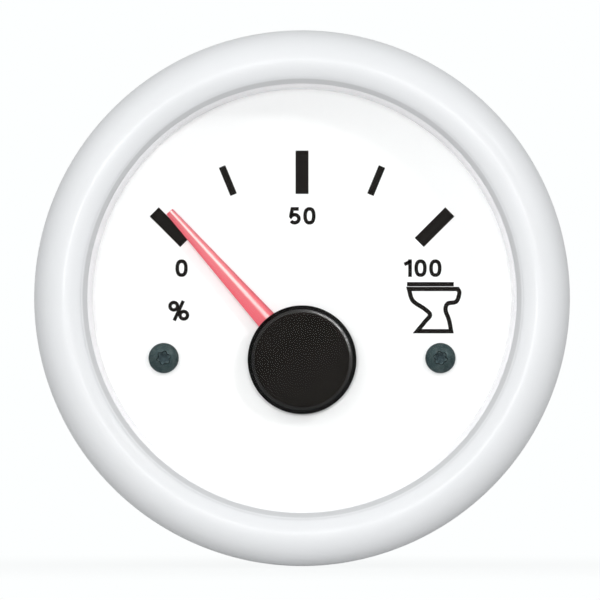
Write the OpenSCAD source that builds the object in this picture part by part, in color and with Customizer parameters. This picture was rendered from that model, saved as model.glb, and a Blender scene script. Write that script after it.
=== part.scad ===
// Tank level gauge for a round panel hole, with an air-core movement and a rear clamp.
// Built in millimetres. The dial faces -Y and +Z is up. The origin is on the barrel's axis,
// in the plane where the gasket meets the panel. Inside the modules a point is given as seen
// from the front: x to the right, y up, z towards the viewer, with z = 0 at the panel.

/* [Bezel] */
// How far the bezel's edge stands out past the housing's head
bezel_wall = 2.7; // [2.2:0.1:5]
// How far the bezel's crest stands in front of the lens
bezel_crest = 1.6; // [1.3:0.1:2.4]
// Radius of the ring's outer shoulder
shoulder_r = 3.6; // [2.8:0.1:4]
// Radius of the ring's inner lip
lip_r = 0.8; // [0.5:0.05:0.9]
// Radius of the broad crown between shoulder and lip
crown_r = 8; // [6:0.5:14]
// How far the top of the lip lies below the crest
crown_fall = 0.25; // [0.05:0.05:0.3]
// Height of the bead that snaps into the housing
snap_h = 0.25; // [0.15:0.05:0.35]

/* [Lens and dial] */
// Thickness of the lens
lens_t = 1.6; // [1.2:0.1:2.5]
// How far the lens reaches under the bezel's lip
lens_lap = 1.5; // [1:0.1:1.8]
// Thickness of the rubber ring behind the lens
seal_t = 0.5; // [0.4:0.1:1]
// Height of the white ring between dial and lens
ring_h = 3.8; // [3.6:0.1:6]
// Width of the white ring behind the bezel's lip, from the head's rim to the window
ring_rim_w = 1.55; // [1.3:0.05:1.8]
// How far the ring's cone leans in from the window to the dial
ring_lean = 1; // [0.5:0.05:1.6]
// Thickness of the dial plate
dial_t = 0.5; // [0.4:0.1:1]
// Thickness of the clear light guide under the dial
guide_t = 3; // [2:0.25:4]
// Thickness of the light guide's rim
guide_rim_t = 1; // [0.7:0.1:1.2]

/* [Scale] */
// How far the pointer's axis lies below the middle of the dial
hub_drop = 7.13; // [5:0.01:8]
// Angle between the first and the last mark
scale_sweep = 90; // [70:5:100]
// Outer radius of the marks, from the pointer's axis
mark_end_r = 24.25; // [23.5:0.05:24.5]
// Length of a long mark
major_l = 5.02; // [3:0.01:6]
// Width of a long mark
major_w = 1.5; // [0.8:0.05:2]
// Length of a short mark
minor_l = 3.53; // [2:0.01:5]
// Width of a short mark
minor_w = 0.8; // [0.4:0.05:1.2]
// Thickness of the printed ink
ink_t = 0.05; // [0.03:0.01:0.1]

/* [Dial screws] */
// Gap between the movement's shield and the pillar of a dial screw
pillar_gap = 0.65; // [0.3:0.05:1.2]
// Wall of a pillar around its dial screw
pillar_wall = 1.6; // [1.2:0.1:1.8]
// Height of the screws above the pointer's axis
dial_screw_rise = 0.19; // [0:0.01:1]
// Shank diameter of a dial screw
dial_screw_d = 2; // [1.6:0.1:2.2]
// Head diameter of a dial screw
dial_screw_head_d = 3.5; // [3:0.1:4]
// Head height of a dial screw
dial_screw_head_h = 1.25; // [1:0.05:1.4]
// Length of a dial screw under its head
dial_screw_l = 9; // [8:0.5:12]
// Size across the six-lobed recess
recess_d = 1.7; // [1.4:0.05:1.8]

/* [Pointer] */
// Length of the pointer from its axis to its tip
pointer_l = 23.06; // [20:0.02:24]
// Angle of the pointer from upright, clockwise, as it rests
pointer_angle = -41.8; // [-45:0.1:45]
// Width of the blade where it leaves the cap
blade_root_w = 2.33; // [1.6:0.01:3]
// Width of the blade at its tip
blade_tip_w = 0.97; // [0.6:0.01:1.4]
// Height of the blade's ridge at its tip
blade_t = 0.9; // [0.6:0.05:1]
// Gap between the dial and the blade
blade_gap = 0.9; // [0.7:0.05:1]
// Diameter of the pointer's cap
cap_d = 12.6; // [11:0.1:14]
// Height of the cap's top above the dial
cap_top = 3; // [2.9:0.05:3.4]
// Rounding of the cap's upper edge
cap_edge_r = 0.3; // [0.2:0.05:0.4]
// Width of the slope round the cap's top
cap_slope_w = 0.65; // [0.3:0.05:0.7]
// Height of the slope round the cap's top
cap_slope_h = 0.75; // [0.5:0.05:0.8]
// Gap between the dial and the cap's skirt
cap_gap = 0.55; // [0.4:0.05:0.6]
// Diameter of the spindle
spindle_d = 1; // [0.8:0.05:1.2]

/* [Housing] */
// Diameter of the barrel that goes through the panel
barrel_d = 51.6; // [51.2:0.1:51.9]
// Depth of the barrel behind the panel's face
barrel_depth = 38; // [36:0.5:46]
// Wall of the barrel
barrel_wall = 1.8; // [1.4:0.1:2]
// Thickness of the rear wall
rear_wall = 2; // [1.6:0.1:3]
// Length of the barrel's full diameter
spigot_l = 12; // [8:0.5:14]
// Step in radius behind the full diameter
barrel_step = 0.4; // [0.3:0.05:0.6]
// How far the head in front of the panel stands out past the barrel
head_step = 2.5; // [2.4:0.05:2.8]
// Thickness of the head's floor
head_floor = 1.4; // [1.2:0.1:2]
// Wall of the head's rim
head_wall = 1.5; // [1.3:0.05:1.55]
// Height of the pads around the rear holes
pad_h = 0.6; // [0.4:0.1:1]
// Bevel on the rear edge
rear_bevel = 1.2; // [0.6:0.1:1.6]
// Number of grip ribs along the barrel
grip_ribs = 12; // [6:1:16]
// Width of a grip rib
rib_w = 1.4; // [1:0.1:2]

/* [Gasket] */
// Thickness of the panel gasket
gasket_t = 1; // [0.8:0.1:1.5]
// How far the gasket's edge lies inside the bezel's edge
gasket_inset = 0.8; // [0.5:0.1:1.5]

/* [Movement] */
// Diameter of the rotor magnet
rotor_d = 9.6; // [8:0.2:10]
// Height of the rotor magnet
rotor_h = 3.4; // [2.5:0.1:4]
// Air gap around the rotor magnet
rotor_gap = 0.5; // [0.4:0.05:0.8]
// Plastic over and under the rotor's chamber
chamber_wall = 2.3; // [1.8:0.1:3]
// Half the width of the bobbin's core
core_half = 7; // [6.8:0.1:7.4]
// Thickness of one winding
coil_t = 1.2; // [0.8:0.1:1.4]
// Width of one half of a winding
coil_w = 4; // [3:0.1:4.2]
// Gap between the halves of a winding
coil_split = 3; // [2.8:0.1:3.4]
// Outside diameter of the magnetic shield
shield_d = 25.6; // [25.2:0.1:26]
// Sheet thickness of the magnetic shield
shield_wall = 0.6; // [0.4:0.1:0.7]
// Thickness of a contact pin
pin_d = 0.7; // [0.5:0.05:0.9]
// How deep a contact pin stands in its post
pin_deep = 4; // [3:0.25:5]
// Diameter of the return magnet
return_d = 2; // [1.6:0.1:2.2]
// Length of the return magnet
return_l = 2.6; // [2:0.1:3]

/* [Circuit board] */
// Gap between the board's edge and the barrel's bore
board_gap = 0.8; // [0.5:0.1:1.5]
// Thickness of the circuit board
board_t = 1.6; // [1:0.2:1.6]
// Height of the board's rear face above the housing's inner floor
board_stand = 9; // [8:0.25:10]
// Sideways distance of a board screw from the middle
board_screw_x = 13.1; // [12.5:0.1:13.4]
// Distance of a board screw from the bottom of the barrel's bore
board_screw_inset = 7.6; // [7.2:0.1:8]
// Shank diameter of a board screw
board_screw_d = 2.2; // [1.8:0.1:2.4]
// Length of the driver circuit's package
chip_l = 9.9; // [8.6:0.1:10.2]
// Width of the driver circuit's package
chip_w = 3.9; // [3.8:0.1:4.4]
// Height of the driver circuit's package
chip_h = 1.5; // [1.2:0.1:1.8]
// Distance between the driver circuit's legs
chip_pitch = 1.27; // [1:0.01:1.27]
// Width of a leg of the driver circuit
chip_leg_w = 0.4; // [0.3:0.05:0.5]
// Thickness of a leg of the driver circuit
chip_leg_t = 0.2; // [0.15:0.05:0.25]
// How far a leg reaches out from the package
chip_leg_reach = 1.1; // [0.8:0.05:1.3]
// Distance of the driver circuit below the middle
chip_drop = 4; // [3.6:0.1:4.4]
// Length of a resistor
resistor_l = 3.2; // [2:0.1:3.4]
// Width of a resistor
resistor_w = 1.6; // [1:0.1:2]
// Height of a resistor
resistor_h = 0.6; // [0.4:0.05:0.8]
// Distance between the resistors
resistor_pitch = 4; // [3:0.25:4.25]
// Distance of the resistors below the middle
resistor_drop = 11; // [10.6:0.1:11.4]
// Diameter of a capacitor
capacitor_d = 6.3; // [5:0.1:6.5]
// Height of a capacitor
capacitor_h = 5.4; // [4.4:0.1:5.8]
// Sideways distance of a capacitor from the middle
capacitor_x = 13.5; // [13:0.1:13.8]
// Height of a capacitor above the middle
capacitor_y = 3.5; // [3:0.1:4]
// Length of the diode
diode_l = 4.3; // [3.5:0.1:4.6]
// Width of the diode
diode_w = 2.6; // [2:0.1:3]
// Height of the diode
diode_h = 2.2; // [1.6:0.1:2.4]
// Height of the diode above the middle
diode_y = 5.5; // [4.8:0.1:6.2]
// Length of a lamp
lamp_body_l = 3.5; // [2.8:0.1:3.6]
// Width of a lamp
lamp_body_w = 2.8; // [2.2:0.1:3]
// Height of a lamp
lamp_body_h = 1.4; // [1:0.1:1.8]
// Diameter of a lamp's window
lamp_window_d = 2.4; // [1.6:0.1:2.4]
// Sideways distance of the outer lamps from the middle
lamp_x = 17.5; // [17:0.1:17.8]
// Height of the outer lamps above the middle
lamp_rise = 4; // [3.5:0.1:4.5]
// Height of the middle lamp above the middle
lamp_top_rise = 10.5; // [9.5:0.1:10.8]

/* [Terminals] */
// Thread diameter of a terminal stud
terminal_d = 4; // [3.5:0.1:4.2]
// Length of a terminal stud behind the rear wall
terminal_l = 13; // [12:0.5:16]
// Sideways distance of the outer terminals from the middle
terminal_x = 12; // [11.5:0.25:12.5]
// Distance of the outer terminals from the top of the barrel's bore
terminal_inset = 11.1; // [10.6:0.1:11.6]
// Distance of the middle terminal from the top of the barrel's bore
terminal_top_inset = 9.1; // [8.1:0.1:9.6]
// Distance of the lamp blade from the bottom of the barrel's bore
lamp_inset = 6; // [5:0.1:6.8]
// Width of the lamp blade
lamp_w = 6.3; // [4.8:0.1:6.5]
// Thickness of the lamp blade
lamp_t = 0.8; // [0.5:0.1:1]
// Length of the lamp blade behind the rear wall
lamp_l = 9; // [7:0.5:10]

/* [Clamp] */
// Distance of a clamp stud from the barrel's bore
stud_inset = 4.6; // [4.2:0.1:5.6]
// Thread diameter of a clamp stud
stud_d = 4; // [3.5:0.1:4.2]
// Length of a clamp stud behind the rear wall
stud_l = 30; // [28:0.5:36]
// Gap between the gasket and the clamp's feet as it rests
foot_gap = 8; // [7:0.5:12]
// Length of the clamp from its feet to its strap
clamp_l = 42; // [41:0.5:46]
// Width of the clamp's strip
strip_w = 12; // [9:0.5:13]
// Thickness of the clamp's strip
strip_t = 1.5; // [1.2:0.1:2]
// Gap between the barrel and the clamp's legs
leg_gap = 1.2; // [1:0.1:1.6]
// Inner radius of the clamp's bends
bend_r = 2.5; // [1.5:0.25:4]
// Depth of the notches in the clamp's feet
tooth_h = 1.2; // [0.6:0.1:2]
// Diameter of a thumb nut
knob_d = 11; // [9:0.5:13]
// Length of a thumb nut
knob_l = 8; // [7:0.5:10]
// Number of teeth in the thumb nut's knurl
knurls = 28; // [20:1:40]
// Depth of the knurl
knurl_h = 0.35; // [0.2:0.05:0.5]

/* [Nuts and washers] */
// Size across the flats of a nut
nut_af = 7; // [6:0.5:7.5]
// Height of a nut
nut_h = 3.2; // [2.6:0.1:3.4]
// Outside diameter of a washer
washer_d = 9; // [8:0.5:9.5]
// Thickness of a flat washer
washer_t = 0.8; // [0.5:0.1:1.2]
// Thickness of a spring washer
spring_t = 1; // [0.8:0.1:1.2]

/* [Clearances] */
// Gap all round between parts that are pushed together
fit_gap = 0.1; // [0.05:0.01:0.15]
// Gap all round a turning shaft or a thread
turn_gap = 0.05; // [0.03:0.01:0.08]
// Gap all round a screw or stud in its hole
hole_gap = 0.2; // [0.1:0.05:0.3]

/* [Hidden] */
$fn = 96;
eps = 0.01;
arc_step = 7.5;

// Radii of barrel and front
barrel_r = barrel_d / 2;
head_r = barrel_r + head_step;
rim_r = head_r - head_wall;
bezel_r = head_r + bezel_wall;
window_r = rim_r - ring_rim_w;
lens_r = window_r + lens_lap;
dial_view_r = window_r - ring_lean;
dial_r = rim_r - 2 * fit_gap;
gasket_r = bezel_r - gasket_inset;

// Heights of the front, counted from the panel
z_flange = gasket_t;
z_floor = z_flange + head_floor;
z_dial = z_floor + dial_t;
z_seal = z_dial + ring_h;
z_lens = z_seal + seal_t;
z_glass = z_lens + lens_t;
z_crest = z_glass + bezel_crest;
z_snap = (z_floor + z_seal) / 2;

// Barrel and what stands in it
bore_r = barrel_r - barrel_step - barrel_wall;
guide_r = (bore_r + rim_r) / 2;
z_rear = -barrel_depth;
z_inside = z_rear + rear_wall;
z_pad = z_rear - pad_h;
z_board = z_inside + board_stand;
z_board_top = z_board + board_t;
z_guide = z_floor - guide_t;
pillar_r = dial_screw_d / 2 + pillar_wall;
pillar_x = shield_d / 2 + pillar_gap + pillar_r;
pillar_y = dial_screw_rise - hub_drop;
board_r = bore_r - board_gap;
board_screw_head_d = board_screw_d + 1.2;
board_screw_y = bore_r - board_screw_inset;

// Movement, standing on the board
shield_r = shield_d / 2;
shield_bore_r = shield_r - shield_wall;
post_r = shield_bore_r - 2 * fit_gap;
post_foot = 0.6;
z_shield = z_board_top + shield_wall;
z_core = z_shield + post_foot + 2 * coil_t;
core_h = rotor_h + 2 * rotor_gap + 2 * chamber_wall;
z_mid = z_core + core_h / 2;
z_core_top = z_core + core_h;
z_coil_top = z_core_top + 2 * coil_t;
boss_r = coil_split / 2 - fit_gap;
post_in = coil_split / 2 + coil_w + fit_gap;
return_skin = 0.35;
pin_skin = 0.9;
return_spot = (post_r - return_skin - return_d / 2) * cos(45);
pin_spot = (post_r - pin_skin - pin_d / 2) * cos(45);

// Pointer
z_blade = z_dial + blade_gap;
z_cap = z_dial + cap_gap;
z_cap_top = z_dial + cap_top;
blade_edge = 0.45;
hub_disc_r = cap_d / 2 - 1.5;
z_spindle_top = z_cap_top - 0.8;
spindle_r = spindle_d / 2;
hub_hole_r = 3;

// Clamp and terminals
stud_x = bore_r - stud_inset;
terminal_y = bore_r - terminal_inset;
terminal_top_y = bore_r - terminal_top_inset;
tip_r = terminal_d * 0.3;
lamp_y = bore_r - lamp_inset;
lamp_tab_w = lamp_w / 2;
z_feet = -foot_gap;
z_strap = z_feet - clamp_l;
z_strap_back = z_strap - strip_t;
z_knob = z_strap_back - spring_t;
leg_x = barrel_r + leg_gap;
z_washer = z_pad - washer_t;
z_nut = z_washer - nut_h;
terminal_spots = [[-terminal_x, terminal_y], [0, terminal_top_y], [terminal_x, terminal_y]];
stud_spots = [[-stud_x, 0], [stud_x, 0]];
board_screw_spots = [[-board_screw_x, -board_screw_y], [board_screw_x, -board_screw_y]];

// Points along an arc from angle a0 to angle a1, about c
function arc(c, r, a0, a1) =
    let (n = max(2, ceil(abs(a1 - a0) / arc_step)))
    [for (i = [0 : n]) c + r * [cos(a0 + (a1 - a0) * i / n), sin(a0 + (a1 - a0) * i / n)]];
function angle_of(v) = atan2(v[1], v[0]);

// Turns front-view coordinates into the gauge's own frame
module facing() {
    rotate([90, 0, 0]) children();
}

// Puts a child at height z
module lift(z) {
    translate([0, 0, z]) children();
}

// Puts a child on the pointer's axis
module at_hub() {
    translate([0, -hub_drop, 0]) children();
}

// One child at each of the given spots
module at_spots(spots) {
    for (p = spots) {
        translate([p[0], p[1], 0]) children();
    }
}

// A flat ring from z0 to z1
module ring(r_out, r_in, z0, z1) {
    lift(z0) difference() {
        cylinder(r = r_out, h = z1 - z0);
        lift(-1) cylinder(r = r_in, h = z1 - z0 + 2);
    }
}

// A hexagonal nut with bevelled corners and a plain bore, from z0 to z0 + h
module hex_nut(z0, h, bore_r) {
    corner = nut_af / 2 / cos(30);
    bevel = (corner - nut_af / 2) * 0.6;
    lift(z0) difference() {
        intersection() {
            cylinder(r = corner, h = h, $fn = 6);
            rotate_extrude() polygon([[0, 0], [nut_af / 2, 0], [corner, bevel],
                [corner, h - bevel], [nut_af / 2, h], [0, h]]);
        }
        lift(-1) cylinder(r = bore_r, h = h + 2);
    }
}

// The bezel: a shouldered ring with a lens pocket, a bore for the head and a snap bead
module bezel() {
    shoulder_c = [bezel_r - shoulder_r, z_crest - shoulder_r];
    lip_c = [window_r + lip_r, z_crest - crown_fall - lip_r];
    // The crown's circle holds both smaller circles and touches each of them once
    span = norm(lip_c - shoulder_c);
    along = (lip_c - shoulder_c) / span;
    to_shoulder = crown_r - shoulder_r;
    to_lip = crown_r - lip_r;
    reach = (pow(to_shoulder, 2) - pow(to_lip, 2) + pow(span, 2)) / (2 * span);
    depth = sqrt(pow(to_shoulder, 2) - pow(reach, 2));
    crown_c = shoulder_c + reach * along + depth * [along[1], -along[0]];
    a_shoulder = angle_of(shoulder_c - crown_c);
    a_lip = angle_of(lip_c - crown_c);
    bore = head_r + fit_gap;
    pocket = lens_r + fit_gap;
    foot = 0.5;
    color("white") facing() rotate_extrude($fn = 180) polygon(concat(
        [[bezel_r - foot, z_flange], [bezel_r, z_flange + foot]],
        arc(shoulder_c, shoulder_r, 0, a_shoulder),
        arc(crown_c, crown_r, a_shoulder, a_lip),
        arc(lip_c, lip_r, a_lip, 180),
        [[window_r, z_glass], [pocket, z_glass], [pocket, z_seal], [bore, z_seal],
            [bore, z_snap + 2 * snap_h], [bore - snap_h, z_snap + snap_h],
            [bore - snap_h, z_snap - snap_h], [bore, z_snap - 2 * snap_h], [bore, z_flange]]));
}

// Flat clear lens with bevelled edges
module lens() {
    bevel = 0.2;
    color([0.85, 0.92, 0.95, 0.3]) facing() rotate_extrude($fn = 180) polygon([
        [0, z_lens], [lens_r - bevel, z_lens], [lens_r, z_lens + bevel],
        [lens_r, z_glass - bevel], [lens_r - bevel, z_glass], [0, z_glass]]);
}

// Rubber ring that the lens is pressed on
module lens_seal() {
    color("dimgray") facing() ring(lens_r - fit_gap, window_r + fit_gap, z_seal, z_lens);
}

// White ring whose cone leads from the window down to the dial
module inner_ring() {
    color("ghostwhite") facing() rotate_extrude($fn = 180) polygon([
        [dial_view_r, z_dial], [rim_r - fit_gap, z_dial], [rim_r - fit_gap, z_seal],
        [window_r, z_seal]]);
}

// Dial plate with its centre hole and two screw holes
module dial() {
    color("white") facing() difference() {
        lift(z_floor) cylinder(r = dial_r, h = dial_t);
        at_hub() lift(z_floor - 1) cylinder(r = hub_hole_r, h = dial_t + 2);
        dial_screw_holes(z_floor, z_dial);
    }
}

// Clearance holes for the dial screws
module dial_screw_holes(z0, z1) {
    for (side = [-1, 1]) {
        translate([side * pillar_x, pillar_y, z0 - 1])
            cylinder(r = dial_screw_d / 2 + hole_gap, h = z1 - z0 + 2);
    }
}

// One bar of the scale, at an angle from upright
module mark(a, l, w) {
    rotate([0, 0, -a]) translate([-w / 2, mark_end_r - l, 0]) cube([w, l, ink_t]);
}

// Three long marks and two short ones, printed on the dial
module scale_marks() {
    color("black") facing() at_hub() lift(z_dial) {
        for (i = [-2 : 2]) {
            long = i % 2 == 0;
            mark(i * scale_sweep / 4, long ? major_l : minor_l, long ? major_w : minor_w);
        }
    }
}

// Domed screw with a six-lobed recess; its head stands on z = 0
module domed_screw(shank_d, shank_l, head_d, head_h, star_d) {
    dome = head_h * 0.55;
    dome_r = (pow(head_d / 2, 2) + pow(dome, 2)) / (2 * dome);
    a_edge = acos((head_d / 2) / dome_r);
    recess_h = head_h * 0.6;
    difference() {
        rotate_extrude($fn = 48) polygon(concat([[0, -shank_l], [shank_d / 2 - 0.4, -shank_l],
            [shank_d / 2, -shank_l + 0.6], [shank_d / 2, 0], [head_d / 2, 0]],
            arc([0, head_h - dome_r], dome_r, a_edge, 90)));
        lift(head_h - recess_h) linear_extrude(height = head_h) six_lobes(star_d);
    }
}

// Outline of a six-lobed recess
module six_lobes(d) {
    union() {
        circle(d = d * 0.74, $fn = 48);
        for (i = [0 : 5]) {
            rotate([0, 0, i * 60]) translate([d * 0.38, 0]) circle(d = d * 0.24, $fn = 24);
        }
    }
}

// The two screws that hold dial and light guide
module dial_screws() {
    color("darkslategray") facing() for (side = [-1, 1]) {
        translate([side * pillar_x, pillar_y, z_dial]) rotate([0, 0, side * 17])
            domed_screw(dial_screw_d, dial_screw_l, dial_screw_head_d, dial_screw_head_h,
                recess_d);
    }
}

// Clear plate that spreads the lamps' light under the dial
module light_guide() {
    color([0.9, 0.95, 1, 0.5]) facing() difference() {
        union() {
            lift(z_floor - guide_rim_t) cylinder(r = guide_r - fit_gap, h = guide_rim_t);
            lift(z_guide) cylinder(r = bore_r - fit_gap, h = guide_t);
        }
        at_hub() lift(z_guide - 1) cylinder(r = hub_hole_r, h = guide_t + 2);
        dial_screw_holes(z_guide, z_floor);
    }
}

// Barrel, head and rear wall, turned from one outline
module housing_shell() {
    taper = 0.3;
    relief = 0.3;
    back_r = barrel_r - barrel_step - taper;
    deep = snap_h;
    wide = 2 * snap_h + fit_gap;
    rotate_extrude($fn = 180) polygon([
        [0, z_rear], [back_r - rear_bevel, z_rear], [back_r, z_rear + rear_bevel],
        [barrel_r - barrel_step, -spigot_l - barrel_step], [barrel_r, -spigot_l],
        [barrel_r, 0], [barrel_r - relief, 0], [barrel_r - relief, z_flange],
        [head_r, z_flange], [head_r, z_snap - wide],
        [head_r - deep, z_snap - wide / 2], [head_r - deep, z_snap + wide / 2],
        [head_r, z_snap + wide], [head_r, z_seal], [rim_r, z_seal], [rim_r, z_floor],
        [guide_r, z_floor], [guide_r, z_floor - guide_rim_t], [bore_r, z_floor - guide_rim_t],
        [bore_r, z_inside], [0, z_inside]]);
}

// Low ribs along the thinner part of the barrel, just under its full diameter
module barrel_ribs() {
    z0 = z_rear + 2 * rear_bevel;
    h = -spigot_l - 1 - z0;
    lift(z0) intersection() {
        cylinder(r = barrel_r - fit_gap, h = h);
        for (i = [0 : grip_ribs - 1]) {
            rotate([0, 0, (i + 0.5) * 360 / grip_ribs])
                translate([bore_r + barrel_wall / 2, -rib_w / 2, 0]) cube([barrel_wall * 2, rib_w, h]);
        }
    }
}

// Tall pillar for a dial screw, with the web that ties it to the barrel
module pillar(side) {
    web_t = 1.2;
    web_l = sqrt(pow(bore_r, 2) - pow(pillar_y, 2)) - pillar_x + 0.4;
    translate([side * pillar_x, pillar_y, z_inside - rear_wall / 2]) {
        cylinder(r = pillar_r, h = z_guide - z_inside + rear_wall / 2);
        translate([side > 0 ? 0 : -web_l, -web_t / 2, 0])
            cube([web_l, web_t, z_guide - z_inside - 2]);
    }
}

// Black moulded housing with its pads, pillars, bosses and holes
module housing() {
    embed = rear_wall / 2;
    pad_r = washer_d / 2 + 0.3;
    boss_wall = 1.3;
    color("dimgray") facing() difference() {
        union() {
            housing_shell();
            barrel_ribs();
            for (side = [-1, 1]) {
                pillar(side);
            }
            at_spots(concat(terminal_spots, stud_spots))
                lift(z_pad) cylinder(r = pad_r, h = pad_h + embed);
            at_spots(board_screw_spots) lift(z_inside - embed)
                cylinder(r = board_screw_d / 2 + boss_wall, h = z_board - z_inside + embed);
            translate([-lamp_w / 2 - 1.5, -lamp_y - lamp_t / 2 - 1.5, z_pad])
                cube([lamp_w + 3, lamp_t + 3, pad_h + embed]);
        }
        for (side = [-1, 1]) {
            translate([side * pillar_x, pillar_y, z_dial - dial_screw_l - 1])
                cylinder(r = dial_screw_d / 2 + turn_gap, h = dial_screw_l);
        }
        at_spots(terminal_spots) lift(z_pad - 1)
            cylinder(r = terminal_d / 2 + hole_gap, h = rear_wall + pad_h + 2);
        at_spots(stud_spots) lift(z_pad - 1)
            cylinder(r = stud_d / 2 + hole_gap, h = rear_wall + pad_h + 2);
        at_spots(board_screw_spots) lift(z_inside + 1)
            cylinder(r = board_screw_d / 2 + turn_gap, h = board_stand);
        translate([-lamp_w / 2 - fit_gap, -lamp_y - lamp_t / 2 - fit_gap, z_pad - 1])
            cube([lamp_w + 2 * fit_gap, lamp_t + 2 * fit_gap, rear_wall + pad_h + 2]);
    }
}

// Flat rubber gasket between bezel and panel
module panel_gasket() {
    color("black") facing() ring(gasket_r, barrel_r + fit_gap, 0, z_flange);
}

// The bobbin's whole form: core, corner posts and spindle bosses, with the rotor's chamber
module bobbin_form() {
    z_top = z_coil_top + post_foot;
    difference() {
        union() {
            translate([-core_half, -core_half, z_core])
                cube([2 * core_half, 2 * core_half, core_h]);
            lift(z_shield) cylinder(r = boss_r, h = z_top - z_shield);
            intersection() {
                lift(z_shield) cylinder(r = post_r, h = z_top - z_shield);
                for (a = [0 : 90 : 270]) {
                    rotate([0, 0, a]) translate([post_in, post_in, z_shield])
                        cube([post_r, post_r, z_top - z_shield]);
                }
            }
        }
        lift(z_core + chamber_wall) cylinder(r = rotor_d / 2 + rotor_gap,
            h = rotor_h + 2 * rotor_gap);
        lift(z_shield + 1) cylinder(r = spindle_r + turn_gap, h = z_top - z_shield);
        translate([return_spot, return_spot, z_top - return_l - fit_gap])
            cylinder(d = return_d + 2 * turn_gap, h = return_l + 1);
        at_pins() lift(z_shield - 1) cylinder(d = pin_d + 2 * turn_gap, h = pin_deep + 1);
    }
}

// Puts a child at each of the four contact pins
module at_pins() {
    for (a = [0 : 90 : 270]) {
        rotate([0, 0, a]) translate([pin_spot, pin_spot, 0]) children();
    }
}

// Half of the bobbin between two heights
module bobbin_half(z0, z1) {
    color("khaki") facing() at_hub() intersection() {
        bobbin_form();
        translate([-shield_r, -shield_r, z0]) cube([shield_d, shield_d, z1 - z0]);
    }
}

// Front half of the bobbin
module bobbin_front() {
    bobbin_half(z_mid, z_coil_top + 2);
}

// Rear half of the bobbin
module bobbin_rear() {
    bobbin_half(z_shield - 1, z_mid);
}

// One half of a winding: a rounded frame round a core of w by h, seen along y
module coil_half(w, h) {
    outer = [w / 2, h / 2];
    color("orangered") rotate([90, 0, 0]) linear_extrude(height = coil_w, center = true)
        difference() {
            polygon(concat(arc(outer, coil_t, 0, 90), arc([-outer[0], outer[1]], coil_t, 90, 180),
                arc(-outer, coil_t, 180, 270), arc([outer[0], -outer[1]], coil_t, 270, 360)));
            square([w, h], center = true);
        }
}

// The two halves of a winding, either side of the spindle
module winding(w, h) {
    for (side = [-1, 1]) {
        translate([0, side * (coil_split + coil_w) / 2, z_mid]) coil_half(w, h);
    }
}

// Winding next to the core
module inner_coil() {
    facing() at_hub() winding(2 * core_half, core_h);
}

// Winding across it, outside
module outer_coil() {
    facing() at_hub() rotate([0, 0, 90]) winding(2 * core_half, core_h + 2 * coil_t);
}

// Four contact pins from the bobbin's posts through the board
module movement_pins() {
    color("silver") facing() at_hub() at_pins() lift(z_board - 1.5)
        cylinder(d = pin_d, h = z_shield + pin_deep - z_board + 1.5);
}

// Small magnet that draws the pointer back to the first mark
module return_magnet() {
    color("gray") facing() at_hub()
        translate([return_spot, return_spot, z_coil_top + post_foot - return_l])
            cylinder(d = return_d, h = return_l);
}

// Drawn steel cup round the movement
module shield_can() {
    color("silver") facing() at_hub() difference() {
        lift(z_board_top) cylinder(r = shield_r, h = z_coil_top - z_board_top);
        lift(z_shield) cylinder(r = shield_bore_r, h = z_coil_top - z_board_top);
        at_pins() lift(z_board_top - 1) cylinder(d = pin_d + 6 * fit_gap, h = shield_wall + 2);
    }
}

// Round circuit board with notches for the pillars
module circuit_board() {
    notch_r = pillar_r + 0.5;
    color("darkgreen") facing() difference() {
        lift(z_board) cylinder(r = board_r, h = board_t);
        for (side = [-1, 1]) {
            translate([side * pillar_x, pillar_y, z_board - 1]) {
                cylinder(r = notch_r, h = board_t + 2);
                translate([side > 0 ? 0 : -board_r, -notch_r, 0])
                    cube([board_r, 2 * notch_r, board_t + 2]);
            }
        }
        at_spots(board_screw_spots) lift(z_board - 1)
            cylinder(r = board_screw_d / 2 + hole_gap, h = board_t + 2);
        at_spots(terminal_spots) lift(z_board - 1)
            cylinder(r = tip_r + fit_gap, h = board_t + 2);
        at_hub() at_pins() lift(z_board - 1) cylinder(d = pin_d + 2 * fit_gap, h = board_t + 2);
        translate([-lamp_tab_w / 2 - fit_gap, -lamp_y - lamp_t / 2 - fit_gap, z_board - 1])
            cube([lamp_tab_w + 2 * fit_gap, lamp_t + 2 * fit_gap, board_t + 2]);
    }
}

// Driver circuit in a flat package with bent legs, on the board's rear side
module driver_chip() {
    legs = 8;
    t = chip_leg_t;
    leg_h = chip_h * 0.6;
    knee = chip_leg_reach / 2;
    color("black") facing() translate([0, -chip_drop, z_board]) mirror([0, 0, 1]) {
        translate([-chip_l / 2, -chip_w / 2, fit_gap]) cube([chip_l, chip_w, chip_h]);
        for (i = [0 : legs - 1], side = [0, 1]) {
            rotate([0, 0, side * 180])
                translate([(i - (legs - 1) / 2) * chip_pitch - chip_leg_w / 2, chip_w / 2, 0])
                    rotate([90, 0, 90]) linear_extrude(height = chip_leg_w) polygon([
                        [-t / 2, leg_h - t], [knee - t, leg_h - t], [chip_leg_reach - 2 * t, 0],
                        [chip_leg_reach, 0], [chip_leg_reach, t], [chip_leg_reach - t, t],
                        [knee, leg_h], [-t / 2, leg_h]]);
        }
    }
}

// Four flat resistors on the board's rear side
module resistors() {
    color("dimgray") facing() for (i = [-1.5 : 1.5]) {
        translate([i * resistor_pitch - resistor_w / 2, -resistor_drop - resistor_l / 2,
            z_board - resistor_h]) cube([resistor_w, resistor_l, resistor_h]);
    }
}

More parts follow.
